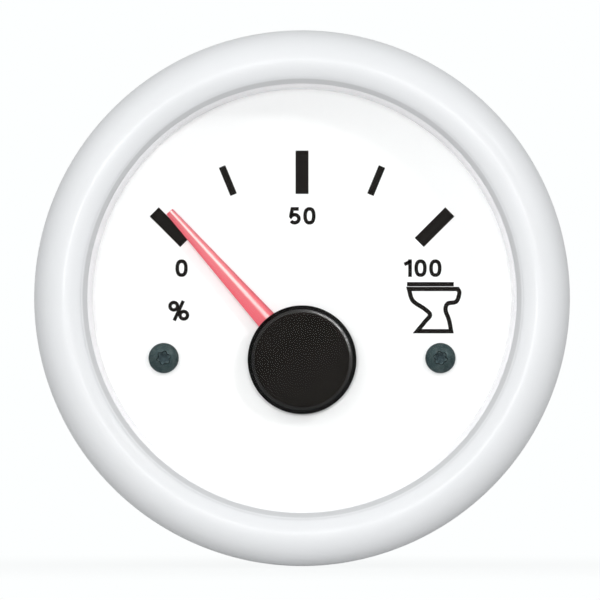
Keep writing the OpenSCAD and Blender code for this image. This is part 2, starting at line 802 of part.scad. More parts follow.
// Two upright capacitors with square feet
module capacitors() {
    r = capacitor_d / 2;
    foot = capacitor_d + 0.3;
    foot_h = 0.9;
    bead = 0.3;
    z_bead = capacitor_h / 3;
    color("gainsboro") facing() for (side = [-1, 1]) {
        translate([side * capacitor_x, capacitor_y, z_board]) mirror([0, 0, 1]) {
            translate([-foot / 2, -foot / 2, 0]) cube([foot, foot, foot_h]);
            rotate_extrude() polygon([[0, 0], [r, 0], [r, z_bead - bead], [r - bead, z_bead],
                [r, z_bead + bead], [r, capacitor_h - bead], [r - bead, capacitor_h],
                [0, capacitor_h]]);
        }
    }
}

// Diode that guards against a reversed supply
module protection_diode() {
    color("black") facing()
        translate([-diode_l / 2, diode_y - diode_w / 2, z_board - diode_h])
            cube([diode_l, diode_w, diode_h]);
}

// Three lamps on the board's front side
module backlight_leds() {
    window_h = 0.2;
    spots = [[-lamp_x, lamp_rise], [lamp_x, lamp_rise], [0, lamp_top_rise]];
    color("lightyellow") facing() at_spots(spots) lift(z_board_top) {
        translate([-lamp_body_l / 2, -lamp_body_w / 2, 0])
            cube([lamp_body_l, lamp_body_w, lamp_body_h]);
        lift(lamp_body_h) cylinder(d = lamp_window_d, h = window_h);
    }
}

// The two screws that hold the circuit board
module board_screws() {
    color("silver") facing() at_spots(board_screw_spots) lift(z_board_top)
        domed_screw(board_screw_d, board_stand - 1, board_screw_head_d, 0.4 * board_screw_head_d,
            0.45 * board_screw_head_d);
}

// A threaded rod from z1 down to z0 with a bevelled end at z0
module rod(d, z0, z1) {
    bevel = 0.5;
    rotate_extrude($fn = 48) polygon([[0, z0], [d / 2 - bevel, z0], [d / 2, z0 + bevel],
        [d / 2, z1], [0, z1]]);
}

// Three terminal studs; each has a hexagonal collar under the board and a thin soldered tip
module terminal_studs() {
    color("gold") facing() at_spots(terminal_spots) {
        rod(terminal_d, z_rear - terminal_l, z_inside + eps);
        lift(z_inside) cylinder(r = nut_af / 2 / cos(30), h = board_stand, $fn = 6);
        lift(z_board - eps) cylinder(r = tip_r, h = board_t + 0.8);
    }
}

// Two washers on each terminal stud
module terminal_washers() {
    color("silver") facing() at_spots(terminal_spots) for (i = [0, 1]) {
        ring(washer_d / 2, terminal_d / 2 + hole_gap, z_washer - i * (nut_h + washer_t),
            z_pad - i * (nut_h + washer_t));
    }
}

// Two nuts on each terminal stud: one holds the stud, one the wire
module terminal_nuts() {
    color("gold") facing() at_spots(terminal_spots) for (i = [0, 1]) {
        hex_nut(z_nut - i * (nut_h + washer_t), nut_h, terminal_d / 2 + turn_gap);
    }
}

// Flat blade for the lamp's wire, with a narrow tab in the board
module lamp_terminal() {
    tip = 1.2;
    eye_d = 1.7;
    z_end = z_rear - lamp_l;
    z_tab = z_board_top - fit_gap;
    color("silver") facing() translate([0, -lamp_y, 0]) rotate([90, 0, 0]) difference() {
        linear_extrude(height = lamp_t, center = true) polygon([
            [-lamp_w / 2 + tip, z_end], [lamp_w / 2 - tip, z_end], [lamp_w / 2, z_end + tip],
            [lamp_w / 2, z_board], [lamp_tab_w / 2, z_board], [lamp_tab_w / 2, z_tab],
            [-lamp_tab_w / 2, z_tab], [-lamp_tab_w / 2, z_board],
            [-lamp_w / 2, z_board], [-lamp_w / 2, z_end + tip]]);
        translate([0, z_end + lamp_w / 2, -lamp_t]) cylinder(d = eye_d, h = 2 * lamp_t);
    }
}

// Two long studs for the clamp, with their heads inside the rear wall
module clamp_studs() {
    head_h = 2.5;
    color("silver") facing() at_spots(stud_spots) {
        rod(stud_d, z_rear - stud_l, z_inside + eps);
        lift(z_inside) cylinder(r = nut_af / 2 / cos(30), h = head_h, $fn = 6);
    }
}

// Flat washers under the stud nuts
module stud_washers() {
    color("silver") facing() at_spots(stud_spots)
        ring(washer_d / 2, stud_d / 2 + hole_gap, z_washer, z_pad);
}

// Nuts that hold the clamp studs in the rear wall
module stud_nuts() {
    color("silver") facing() at_spots(stud_spots) hex_nut(z_nut, nut_h, stud_d / 2 + turn_gap);
}

// Thin steel spindle with a pointed rear pivot
module spindle() {
    z_pivot = z_shield + 1 + turn_gap;
    color("silver") facing() at_hub() rotate_extrude($fn = 48) polygon([[0, z_pivot],
        [spindle_r, z_pivot + spindle_r], [spindle_r, z_spindle_top], [0, z_spindle_top]]);
}

// Round magnet on the spindle, inside the bobbin
module rotor_magnet() {
    color("gray") facing() at_hub()
        ring(rotor_d / 2, spindle_r, z_mid - rotor_h / 2, z_mid + rotor_h / 2);
}

// Width of the blade at distance l from the axis
function blade_w(l) = blade_root_w
    + (blade_tip_w - blade_root_w) * (l - cap_d / 2) / (pointer_l - cap_d / 2);
// Height of the blade's ridge at distance l, a little more at the cap than at the tip
function ridge_h(l) = blade_t * (1 + 0.15 * (pointer_l - l) / pointer_l);
// Section of the blade: flat below, thin edges, and a flat ridge right of the middle
function blade_section(l) =
    let (w = blade_w(l), t = ridge_h(l))
    [[-w / 2, l, 0], [w / 2, l, 0], [w / 2, l, blade_edge], [w * 0.24, l, t],
        [w * 0.04, l, t], [-w / 2, l, blade_edge]];

// Tapered blade with a ridge, on a round hub
module pointer() {
    l0 = 2;
    n = 6;
    root = [for (i = [n - 1 : -1 : 0]) i];
    tip = [for (i = [0 : n - 1]) n + i];
    sides = [for (i = [0 : n - 1]) [i, (i + 1) % n, n + (i + 1) % n, n + i]];
    color([0.95, 0.35, 0.4, 0.8]) facing() at_hub() rotate([0, 0, -pointer_angle])
        lift(z_blade) difference() {
            union() {
                polyhedron(concat(blade_section(l0), blade_section(pointer_l)),
                    concat([root], [tip], sides));
                cylinder(r = hub_disc_r, h = blade_t);
            }
            lift(-1) cylinder(r = spindle_r, h = blade_t + 2);
        }
}

// Black cap over the pointer's hub, hollow below, with a slot for the blade
module pointer_cap() {
    top_t = 1;
    skirt = 0.8;
    cap_r = cap_d / 2;
    top_r = cap_r - cap_slope_w;
    slope = atan2(cap_slope_w, cap_slope_h);
    z_hub = z_blade + blade_t;
    slot_w = blade_w(cap_r - skirt) + 4 * fit_gap;
    color([0.15, 0.15, 0.15]) facing() at_hub() difference() {
        union() {
            rotate_extrude() polygon(concat([[cap_r - skirt, z_cap], [cap_r, z_cap],
                [cap_r, z_cap_top - cap_slope_h]],
                arc([top_r - cap_edge_r, z_cap_top - cap_edge_r], cap_edge_r, slope, 90),
                [[0, z_cap_top], [0, z_cap_top - top_t], [cap_r - skirt, z_cap_top - top_t]]));
            lift(z_hub) cylinder(r = 3 * spindle_r, h = z_cap_top - z_hub - top_t / 2);
        }
        lift(z_cap) cylinder(r = spindle_r, h = z_spindle_top - z_cap);
        rotate([0, 0, -pointer_angle]) translate([-slot_w / 2, 0, z_cap - 1])
            cube([slot_w, cap_d, z_blade + ridge_h(0) + fit_gap - z_cap + 1]);
    }
}

// Bent strip over the rear of the housing; its feet press on the panel
module clamp_bracket() {
    out_x = leg_x + strip_t;
    bend_c = [leg_x - bend_r, z_strap + bend_r];
    bend_m = [-bend_c[0], bend_c[1]];
    color("silver") facing() difference() {
        rotate([90, 0, 0]) linear_extrude(height = strip_w, center = true) polygon(concat(
            [[-out_x, z_feet]], arc(bend_m, bend_r + strip_t, 180, 270),
            arc(bend_c, bend_r + strip_t, 270, 360), [[out_x, z_feet], [leg_x, z_feet]],
            arc(bend_c, bend_r, 360, 270), arc(bend_m, bend_r, 270, 180), [[-leg_x, z_feet]]));
        at_spots(stud_spots) lift(z_strap_back - 1)
            cylinder(r = stud_d / 2 + 1.5 * hole_gap, h = strip_t + 2);
        for (y = [-strip_w / 4, strip_w / 4]) {
            translate([-out_x - 1, y, z_feet]) rotate([90, 0, 90])
                linear_extrude(height = 2 * out_x + 2)
                    polygon([[-tooth_h, 1], [-tooth_h, 0], [0, -tooth_h], [tooth_h, 0], [tooth_h, 1]]);
        }
    }
}

// Split spring washers between clamp and thumb nuts
module spring_washers() {
    slit = 0.7;
    color("silver") facing() for (p = stud_spots) {
        translate([p[0], p[1], 0]) difference() {
            ring(washer_d / 2 - 0.6, stud_d / 2 + 1.5 * hole_gap, z_knob, z_strap_back);
            rotate([0, 0, 35]) translate([0, -slit / 2, z_knob - 1])
                cube([washer_d, slit, spring_t + 2]);
        }
    }
}

// Knurled thumb nut with a smooth collar at each end
module thumb_nut(x) {
    r = knob_d / 2;
    collar_r = r * 0.78;
    collar_l = knob_l * 0.18;
    bevel = 0.7 * knurl_h;
    tooth = 180 / knurls;
    z_end = z_knob - knob_l;
    color("goldenrod") facing() translate([x, 0, 0]) difference() {
        union() {
            lift(z_end) cylinder(r = collar_r, h = knob_l);
            intersection() {
                lift(z_end + collar_l) linear_extrude(height = knob_l - 2 * collar_l)
                    polygon([for (i = [0 : 2 * knurls - 1]) (i % 2 == 0 ? r : r - knurl_h)
                        * [cos(i * tooth), sin(i * tooth)]]);
                rotate_extrude() polygon([[0, z_end + collar_l],
                    [r - bevel, z_end + collar_l], [r, z_end + collar_l + bevel],
                    [r, z_knob - collar_l - bevel], [r - bevel, z_knob - collar_l],
                    [0, z_knob - collar_l]]);
            }
        }
        lift(z_end - 1) cylinder(r = stud_d / 2 + turn_gap, h = knob_l + 2);
    }
}

// Thumb nut on the left stud, seen from the front
module thumb_nut_left() {
    thumb_nut(-stud_x);
}

// Thumb nut on the right stud
module thumb_nut_right() {
    thumb_nut(stud_x);
}

bezel();
lens();
lens_seal();
inner_ring();
dial();
scale_marks();
dial_screws();
light_guide();
housing();
panel_gasket();
bobbin_front();
bobbin_rear();
inner_coil();
outer_coil();
movement_pins();
return_magnet();
shield_can();
circuit_board();
driver_chip();
resistors();
capacitors();
protection_diode();
backlight_leds();
board_screws();
terminal_studs();
terminal_washers();
terminal_nuts();
lamp_terminal();
clamp_studs();
stud_washers();
stud_nuts();
spindle();
rotor_magnet();
pointer();
pointer_cap();
clamp_bracket();
spring_washers();
thumb_nut_left();
thumb_nut_right();
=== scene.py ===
"""Looks of a panel-mounted tank level gauge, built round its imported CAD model.

Lengths are millimetres in front-view coordinates: x to the right, y up and z towards the
viewer, with z = 0 at the panel. The last step turns them into the model's frame, in metres.
"""

import logging
import math
from dataclasses import dataclass, field
from enum import Enum
from functools import cache
from typing import Any

import bmesh
import bpy
import numpy as np
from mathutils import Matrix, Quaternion, Vector


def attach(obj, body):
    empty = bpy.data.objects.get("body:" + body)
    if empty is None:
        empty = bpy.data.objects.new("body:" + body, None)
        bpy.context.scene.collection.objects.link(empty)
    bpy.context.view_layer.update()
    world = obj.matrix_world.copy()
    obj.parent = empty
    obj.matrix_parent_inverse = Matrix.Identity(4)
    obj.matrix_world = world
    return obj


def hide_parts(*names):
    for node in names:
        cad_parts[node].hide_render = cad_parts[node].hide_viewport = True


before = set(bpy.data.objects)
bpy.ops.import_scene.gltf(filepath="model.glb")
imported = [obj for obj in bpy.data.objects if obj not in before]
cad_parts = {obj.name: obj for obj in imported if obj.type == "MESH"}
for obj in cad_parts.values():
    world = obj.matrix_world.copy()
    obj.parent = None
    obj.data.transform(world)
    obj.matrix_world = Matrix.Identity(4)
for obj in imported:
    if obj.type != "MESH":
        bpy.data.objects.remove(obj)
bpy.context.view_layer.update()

MM = 0.001
TURN = 2 * math.pi
LOG = logging.getLogger("gauge")

Array = np.ndarray
Spot = tuple[float, float]
Stroke = tuple[Array, bool]
Colour = tuple[float, float, float]

# Sizes that several assemblies share.

Z_DIAL = 2.9
HUB_Y = -7.13
STUD_X = 19.0
STUD_D = 4.0


# Meshes.


def to_frame(points: Array) -> Array:
    """Front-view millimetres to the model's frame: (x, y, z) becomes (x, -z, y) in metres."""
    return np.stack([points[..., 0], -points[..., 2], points[..., 1]], axis=-1) * MM


def grid_faces(rows: int, cols: int, loop_rows: bool, loop_cols: bool) -> Array:
    """Corner numbers of the four-sided faces between the points of a grid.

    Face (i, j) joins the points (i, j), (i, j + 1), (i + 1, j + 1) and (i + 1, j); a grid that
    closes on itself counts its last row or column as the neighbour of its first.

    Args:
        rows: Number of rows of points.
        cols: Number of columns of points.
        loop_rows: True if the last row joins the first.
        loop_cols: True if the last column joins the first.

    Returns:
        An array of faces by four corners.
    """
    i = np.arange(rows if loop_rows else rows - 1)[:, None]
    j = np.arange(cols if loop_cols else cols - 1)[None, :]
    down, right = (i + 1) % rows, (j + 1) % cols
    corners = [i * cols + j, i * cols + right, down * cols + right, down * cols + j]
    return np.stack(np.broadcast_arrays(*corners), axis=-1).reshape(-1, 4)


@dataclass
class Skin:
    """Points and faces that grow into one mesh.

    Its attribute "lathe" holds, for each point, its distance from its own axis, its distance
    along the profile and its angle in turns.
    """

    name: str
    points: list[Array] = field(default_factory=list)
    faces: list[list[int]] = field(default_factory=list)
    lathe: list[Array] = field(default_factory=list)
    count: int = 0

    def add_grid(self, points: Array, lathe: Array | None = None, loop_rows: bool = False,
                 loop_cols: bool = False, caps: bool = False) -> None:
        """Adds a grid of points as a surface.

        Args:
            points: Rows by columns by three.
            lathe: The attribute's values, of the same shape, or None for zeros.
            loop_rows: True if the last row joins the first.
            loop_cols: True if the last column joins the first.
            caps: True if the first and last rows are closed with one face each.
        """
        rows, cols = points.shape[:2]
        first = self.count
        self.count += rows * cols
        self.points.append(points.reshape(-1, 3))
        self.lathe.append((np.zeros_like(points) if lathe is None else lathe).reshape(-1, 3))
        self.faces += (grid_faces(rows, cols, loop_rows, loop_cols) + first).tolist()
        if caps:
            last = first + (rows - 1) * cols
            self.faces.append(list(range(first, first + cols))[::-1])
            self.faces.append(list(range(last, last + cols)))

    def add_round(self, r: Array, z: Array, a: Array, spot: Spot = (0.0, 0.0),
                  run: Array | None = None, turn: float = 0.0, **closing: bool) -> None:
        """Adds a grid given by radius, height and angle round an axis that faces the viewer.

        The point (i, j) is (x0 + r cos(a + turn), y0 + r sin(a + turn), z). The arrays may be
        single rows or columns; they are spread to one shape.

        Args:
            r: Radii.
            z: Heights.
            a: Angles in radians.
            spot: The axis (x0, y0).
            run: Distances along the profile, or None for the heights.
            turn: Angle by which the whole grid is turned.
            closing: loop_rows, loop_cols and caps of add_grid.
        """
        r, z, a, run = np.broadcast_arrays(r, z, a, z if run is None else run)
        x, y = spot[0] + r * np.cos(a + turn), spot[1] + r * np.sin(a + turn)
        lathe = np.stack([r, run, a / TURN], axis=-1)
        self.add_grid(np.stack([x, y, z], axis=-1), lathe, **closing)

    def piece(self, sharp: float = 32.0, merge: float = 1e-7) -> bpy.types.Object:
        """Makes the object: points merged, faces outwards and smooth between edges.

        Args:
            sharp: Angle in degrees above which an edge stays sharp.
            merge: Distance in metres under which points become one.

        Returns:
            The new object, in the scene.
        """
        points = to_frame(np.concatenate(self.points))
        mesh = bpy.data.meshes.new(self.name)
        mesh.from_pydata(points.tolist(), [], self.faces)
        layer = mesh.attributes.new("lathe", "FLOAT_VECTOR", "POINT")
        layer.data.foreach_set("vector", np.concatenate(self.lathe).astype(np.float32).ravel())
        work = bmesh.new()
        work.from_mesh(mesh)
        bmesh.ops.remove_doubles(work, verts=work.verts, dist=merge)
        bmesh.ops.dissolve_degenerate(work, edges=work.edges, dist=merge)
        bmesh.ops.recalc_face_normals(work, faces=work.faces)
        work.to_mesh(mesh)
        work.free()
        return in_scene(self.name, mesh, sharp)


def in_scene(name: str, mesh: bpy.types.Mesh, sharp: float) -> bpy.types.Object:
    """Puts a mesh into the scene, smooth apart from edges above an angle.

    Args:
        name: Name of the object.
        mesh: Its mesh, in the model's frame.
        sharp: Angle in degrees above which an edge stays sharp.

    Returns:
        The new object.
    """
    mesh.polygons.foreach_set("use_smooth", [True] * len(mesh.polygons))
    mesh.set_sharp_from_angle(angle=math.radians(sharp))
    mesh.validate()
    piece = bpy.data.objects.new(name, mesh)
    bpy.context.scene.collection.objects.link(piece)
    return piece


def softened(node: str, name: str, width: float, segments: int = 2,
             sharp: float = 34.0) -> bpy.types.Object:
    """A copy of a CAD node with merged points, whole flat faces and rounded edges.

    Args:
        node: Name of the CAD node.
        name: Name of the new piece.
        width: Width of the rounding in millimetres.
        segments: Number of faces across the rounding.
        sharp: Angle in degrees above which an edge is rounded.

    Returns:
        The new object.
    """
    merge, flat = 2e-6, math.radians(0.6)
    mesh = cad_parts[node].data.copy()
    work = bmesh.new()
    work.from_mesh(mesh)
    bmesh.ops.remove_doubles(work, verts=work.verts, dist=merge)
    bmesh.ops.dissolve_degenerate(work, edges=work.edges, dist=merge)
    bmesh.ops.dissolve_limit(work, angle_limit=flat, verts=work.verts, edges=work.edges)
    work.to_mesh(mesh)
    work.free()
    mesh.materials.clear()
    piece = in_scene(name, mesh, sharp)
    rounding = piece.modifiers.new("edge_rounding", "BEVEL")
    rounding.width = width * MM
    rounding.segments = segments
    rounding.limit_method = "ANGLE"
    rounding.angle_limit = math.radians(sharp)
    rounding.use_clamp_overlap = True
    shading = piece.modifiers.new("flat_faces", "WEIGHTED_NORMAL")
    shading.mode = "FACE_AREA"
    shading.weight = 50
    shading.keep_sharp = True
    return piece


def filleted(corners: list[tuple[float, float, float]], closed: bool, steps: int = 5) -> Array:
    """An outline whose corners are rounded by arcs.

    At each corner with radius r the arc touches both sides at r times the tangent of half the
    turn from the corner; its points lie at equal angles about its centre.

    Args:
        corners: Points (a, b) with their radius.
        closed: True if the last corner joins the first.
        steps: Number of sides of an arc.

    Returns:
        The outline's points, one a row.
    """
    p = np.array([c[:2] for c in corners], float)
    out: list[Array] = []
    n = len(p)
    for k, (_, _, r) in enumerate(corners):
        if r == 0 or (not closed and k in (0, n - 1)):
            out.append(p[k:k + 1])
            continue
        back, ahead = p[k - 1] - p[k], p[(k + 1) % n] - p[k]
        back, ahead = back / np.linalg.norm(back), ahead / np.linalg.norm(ahead)
        half = math.acos(float(np.clip(back @ ahead, -1, 1))) / 2
        middle = (back + ahead) / np.linalg.norm(back + ahead)
        centre = p[k] + middle * r / math.sin(half)
        start = p[k] + back * r / math.tan(half) - centre
        end = p[k] + ahead * r / math.tan(half) - centre
        t = np.linspace(0, 1, steps + 1)[:, None]
        sweep = math.pi - 2 * half
        arc = (np.sin((1 - t) * sweep) * start + np.sin(t * sweep) * end) / math.sin(sweep)
        out.append(centre + arc)
    return np.concatenate(out)


def arc_points(centre: Array, r: float, a0: float, a1: float, steps: int) -> Array:
    """Points on a circle: centre plus r times (cos a, sin a), with a evenly from a0 to a1."""
    a = np.linspace(a0, a1, steps + 1)
    return np.asarray(centre, float) + r * np.stack([np.cos(a), np.sin(a)], axis=-1)


def along(profile: Array) -> Array:
    """Distance of each point of a profile from its first, along the profile, as a column."""
    step = np.linalg.norm(np.diff(profile, axis=0), axis=1)
    return np.concatenate([[0.0], np.cumsum(step)])[:, None]


def held(profile: Array, closed: bool, edge: float = 0.05) -> Array:
    """Adds a point near both ends of each long side, which keeps the shading of a flat side flat.

    Args:
        profile: Points of the outline.
        closed: True if the last point joins the first.
        edge: Distance of the new points from the side's ends.

    Returns:
        The outline with the new points.
    """
    start = profile if closed else profile[:-1]
    step = (np.roll(profile, -1, axis=0) if closed else profile[1:]) - start
    length = np.linalg.norm(step, axis=1, keepdims=True)
    inset = step * edge / np.maximum(length, edge)
    rows = np.stack([start, start + inset, start + step - inset], axis=1)
    long = length[:, 0] > 6 * edge
    kept = rows[np.stack([np.ones_like(long), long, long], axis=1)]
    return kept if closed else np.concatenate([kept, profile[-1:]])


def turned(skin: Skin, profile: Array, spot: Spot = (0.0, 0.0), steps: int = 96,
           closed: bool = True) -> None:
    """Adds a profile of (r, z) turned round an axis that faces the viewer.

    Args:
        skin: The skin that takes the surface.
        profile: Points (r, z); an open one starts and ends on the axis or at a rim.
        spot: The axis (x0, y0).
        steps: Number of points round the axis.
        closed: True if the profile's last point joins its first.
    """
    a = np.arange(steps) * TURN / steps
    skin.add_round(profile[:, :1], profile[:, 1:], a, spot, along(profile),
                   loop_rows=closed, loop_cols=True)


def disc_profile(r: float, z0: float, z1: float, edge: float) -> Array:
    """Half section of a disc with rounded rims, from the axis below to the axis above."""
    corners = [(0, z0, 0), (r, z0, edge), (r, z1, edge), (0, z1, 0)]
    return held(filleted(corners, closed=False), closed=False)


def ring_profile(r_in: float, r_out: float, z0: float, z1: float, edge: float) -> Array:
    """Closed section of a ring with rounded edges."""
    corners = [(r_in, z0, edge), (r_out, z0, edge), (r_out, z1, edge), (r_in, z1, edge)]
    return held(filleted(corners, closed=True, steps=3), closed=True)


def threaded(skin: Skin, spot: Spot, d: float, pitch: float, z_tip: float, z_top: float,
             bevel: float = 0.5, cols: int = 40) -> None:
    """Adds a threaded rod with a bevelled tip and a flat top.

    With the phase u = (z / pitch - a in turns) modulo 1, the radius is d/2 less 0.54 pitch
    times a triangle wave of u whose crests and roots are cut flat; near the tip no radius is
    larger than the bevel's cone allows.

    Args:
        skin: The skin that takes the surface.
        spot: The rod's axis (x0, y0).
        d: Thread diameter.
        pitch: Distance between threads.
        z_tip: Height of the bevelled end.
        z_top: Height of the plain end.
        bevel: Size of the tip's bevel.
        cols: Number of points round the rod.
    """
    rows_per_pitch, depth_per_pitch, steep, flat = 8, 0.54, 1.35, 0.15
    rows = int(math.ceil((z_top - z_tip) / pitch * rows_per_pitch))
    z = np.concatenate([[z_tip], np.linspace(z_tip, z_top, rows + 1), [z_top]])[:, None]
    a = (np.arange(cols) / cols)[None, :]
    u = (z / pitch - a) % 1.0
    depth = np.clip(np.abs(2 * u - 1) * steep - flat, 0, 1) * depth_per_pitch * pitch
    r = np.minimum(d / 2 - depth, d / 2 - bevel + (z - z_tip))
    r[[0, -1], :] = 0
    skin.add_round(r, z, a * TURN, spot, loop_cols=True)


def hexagonal(skin: Skin, spot: Spot, flats: float, bore: float, z0: float, h: float,
              turn: float = 0.0) -> None:
    """Adds a hexagonal nut with bevelled corners and a countersunk bore.

    Outside, the radius at angle a is half the flats over the cosine of the angle from the
    nearest flat's middle. Each end is a cone: from a circle just inside the flats it rises
    towards the corners, so its edge on each flat is the arc of a real nut.

    Args:
        skin: The skin that takes the surface.
        spot: The nut's axis (x0, y0).
        flats: Size across the flats.
        bore: Radius of the bore.
        z0: Lower end.
        h: Height.
        turn: Angle of the nut in degrees.
    """
    cols, rows, circle_share, slope, sink = 120, 5, 0.965, 0.55, 0.35
    a = np.arange(cols) * TURN / cols
    side = (a + TURN / 12) % (TURN / 6) - TURN / 12
    circle = flats / 2 * circle_share
    rise = (flats / 2 / np.cos(side) - circle) * np.linspace(0, 1, rows)[:, None]
    flat = np.ones_like(a)
    r = np.concatenate([[bore * flat, (bore + sink) * flat], circle + rise,
                        (circle + rise)[::-1], [(bore + sink) * flat, bore * flat]])
    z = np.concatenate([[(z0 + sink) * flat, z0 * flat], z0 + rise * slope,
                        (z0 + h - rise * slope)[::-1],
                        [(z0 + h) * flat, (z0 + h - sink) * flat]])
    skin.add_round(r, z, a, spot, turn=math.radians(turn), loop_rows=True, loop_cols=True)


def ribbon(skin: Skin, path: Array, width: float, z0: float, z1: float,
           closed: bool = False) -> None:
    """Adds a flat stroke of print along a path.

    Each point moves half the width to either side along the mitre of its two neighbours'
    directions, divided by the cosine of half the turn, so that the stroke keeps its width.

    Args:
        skin: The skin that takes the surface.
        path: Points (x, y).
        width: Width of the stroke.
        z0: Its lower face.
        z1: Its upper face.
        closed: True if the path joins itself.
    """
    least_cosine = 0.4
    step = np.diff(np.concatenate([path, path[:1]]), axis=0)
    step /= np.maximum(np.linalg.norm(step, axis=1, keepdims=True), 1e-9)
    before = np.roll(step, 1, axis=0)
    if not closed:
        before[0], step[-1] = step[0], step[-2]
    normal = np.stack([-(before + step)[:, 1], (before + step)[:, 0]], axis=-1)
    normal /= np.linalg.norm(normal, axis=1, keepdims=True)
    own = np.stack([-step[:, 1], step[:, 0]], axis=-1)
    cosine = (normal * own).sum(axis=1, keepdims=True)
    reach = width / 2 / np.maximum(cosine, least_cosine)
    left, right = path + normal * reach, path - normal * reach
    low, high = np.full((len(path), 1), z0), np.full((len(path), 1), z1)
    section = [np.hstack([left, low]), np.hstack([right, low]), np.hstack([right, high]),
               np.hstack([left, high])]
    skin.add_grid(np.stack(section, axis=1), loop_rows=closed, loop_cols=True, caps=not closed)


def spline(points: list[Spot], steps: int = 8) -> Array:
    """A smooth open curve through points, in pieces of even steps.

    Between two points it is a cubic whose slope at each of them is half the way from the point
    before it to the point after it; beyond the ends the outermost step is repeated.

    Args:
        points: Points (x, y) on the curve.
        steps: Number of steps between two of them.

    Returns:
        The curve's points, one a row.
    """
    p = np.array(points, float)
    p = np.concatenate([2 * p[:1] - p[1:2], p, 2 * p[-1:] - p[-2:-1]])
    t = (np.arange(steps) / steps)[None, :, None]
    a, b, c, d = (p[k:len(p) - 3 + k, None, :] for k in range(4))
    curve = b + 0.5 * t * (c - a + t * (2 * a - 5 * b + 4 * c - d + t * (3 * (b - c) + d - a)))
    return np.concatenate([curve.reshape(-1, 2), p[-2:-1]])


# Materials.


class Wire:
    """A value in a material's nodes; Python's operators on it add Math nodes."""

    def __init__(self, paint: "Paint", socket: bpy.types.NodeSocket) -> None:
        """Keeps the material's builder and the output socket."""
        self.paint = paint
        self.socket = socket

    def _join(self, operation: str, a: Any, b: Any = 0.0) -> "Wire":
        """One Math node on one or two values."""
        made = self.paint.node("ShaderNodeMath", {"operation": operation}, {0: a, 1: b})
        return Wire(self.paint, made.outputs[0])

    def __add__(self, other: Any) -> "Wire":
        """self + other."""
        return self._join("ADD", self, other)

    def __sub__(self, other: Any) -> "Wire":
        """self - other."""
        return self._join("SUBTRACT", self, other)

    def __rsub__(self, other: Any) -> "Wire":
        """other - self."""
        return self._join("SUBTRACT", other, self)

    def __mul__(self, other: Any) -> "Wire":
        """self * other."""
        return self._join("MULTIPLY", self, other)

    def __truediv__(self, other: Any) -> "Wire":
        """self / other."""
        return self._join("DIVIDE", self, other)

    def __pow__(self, other: Any) -> "Wire":
        """self ** other."""
        return self._join("POWER", self, other)

    def __mod__(self, other: Any) -> "Wire":
        """self modulo other."""
        return self._join("FLOORED_MODULO", self, other)

    __radd__ = __add__
    __rmul__ = __mul__

    def size(self) -> "Wire":
        """Its absolute value."""
        return self._join("ABSOLUTE", self)

    def wave(self) -> "Wire":
        """A sine of itself in turns, from 0 to 1."""
        return self._join("SINE", self * TURN) * 0.5 + 0.5

    def between(self, low: float, high: float) -> "Wire":
        """0 below low, 1 above high and smooth in between.

        Args:
            low: Where it leaves 0.
            high: Where it reaches 1.

        Returns:
            The smooth step.
        """
        made = self.paint.node(
            "ShaderNodeMapRange", {"interpolation_type": "SMOOTHSTEP"},
            {"Value": self, "From Min": low, "From Max": high, "To Min": 0.0, "To Max": 1.0})
        return Wire(self.paint, made.outputs[0])


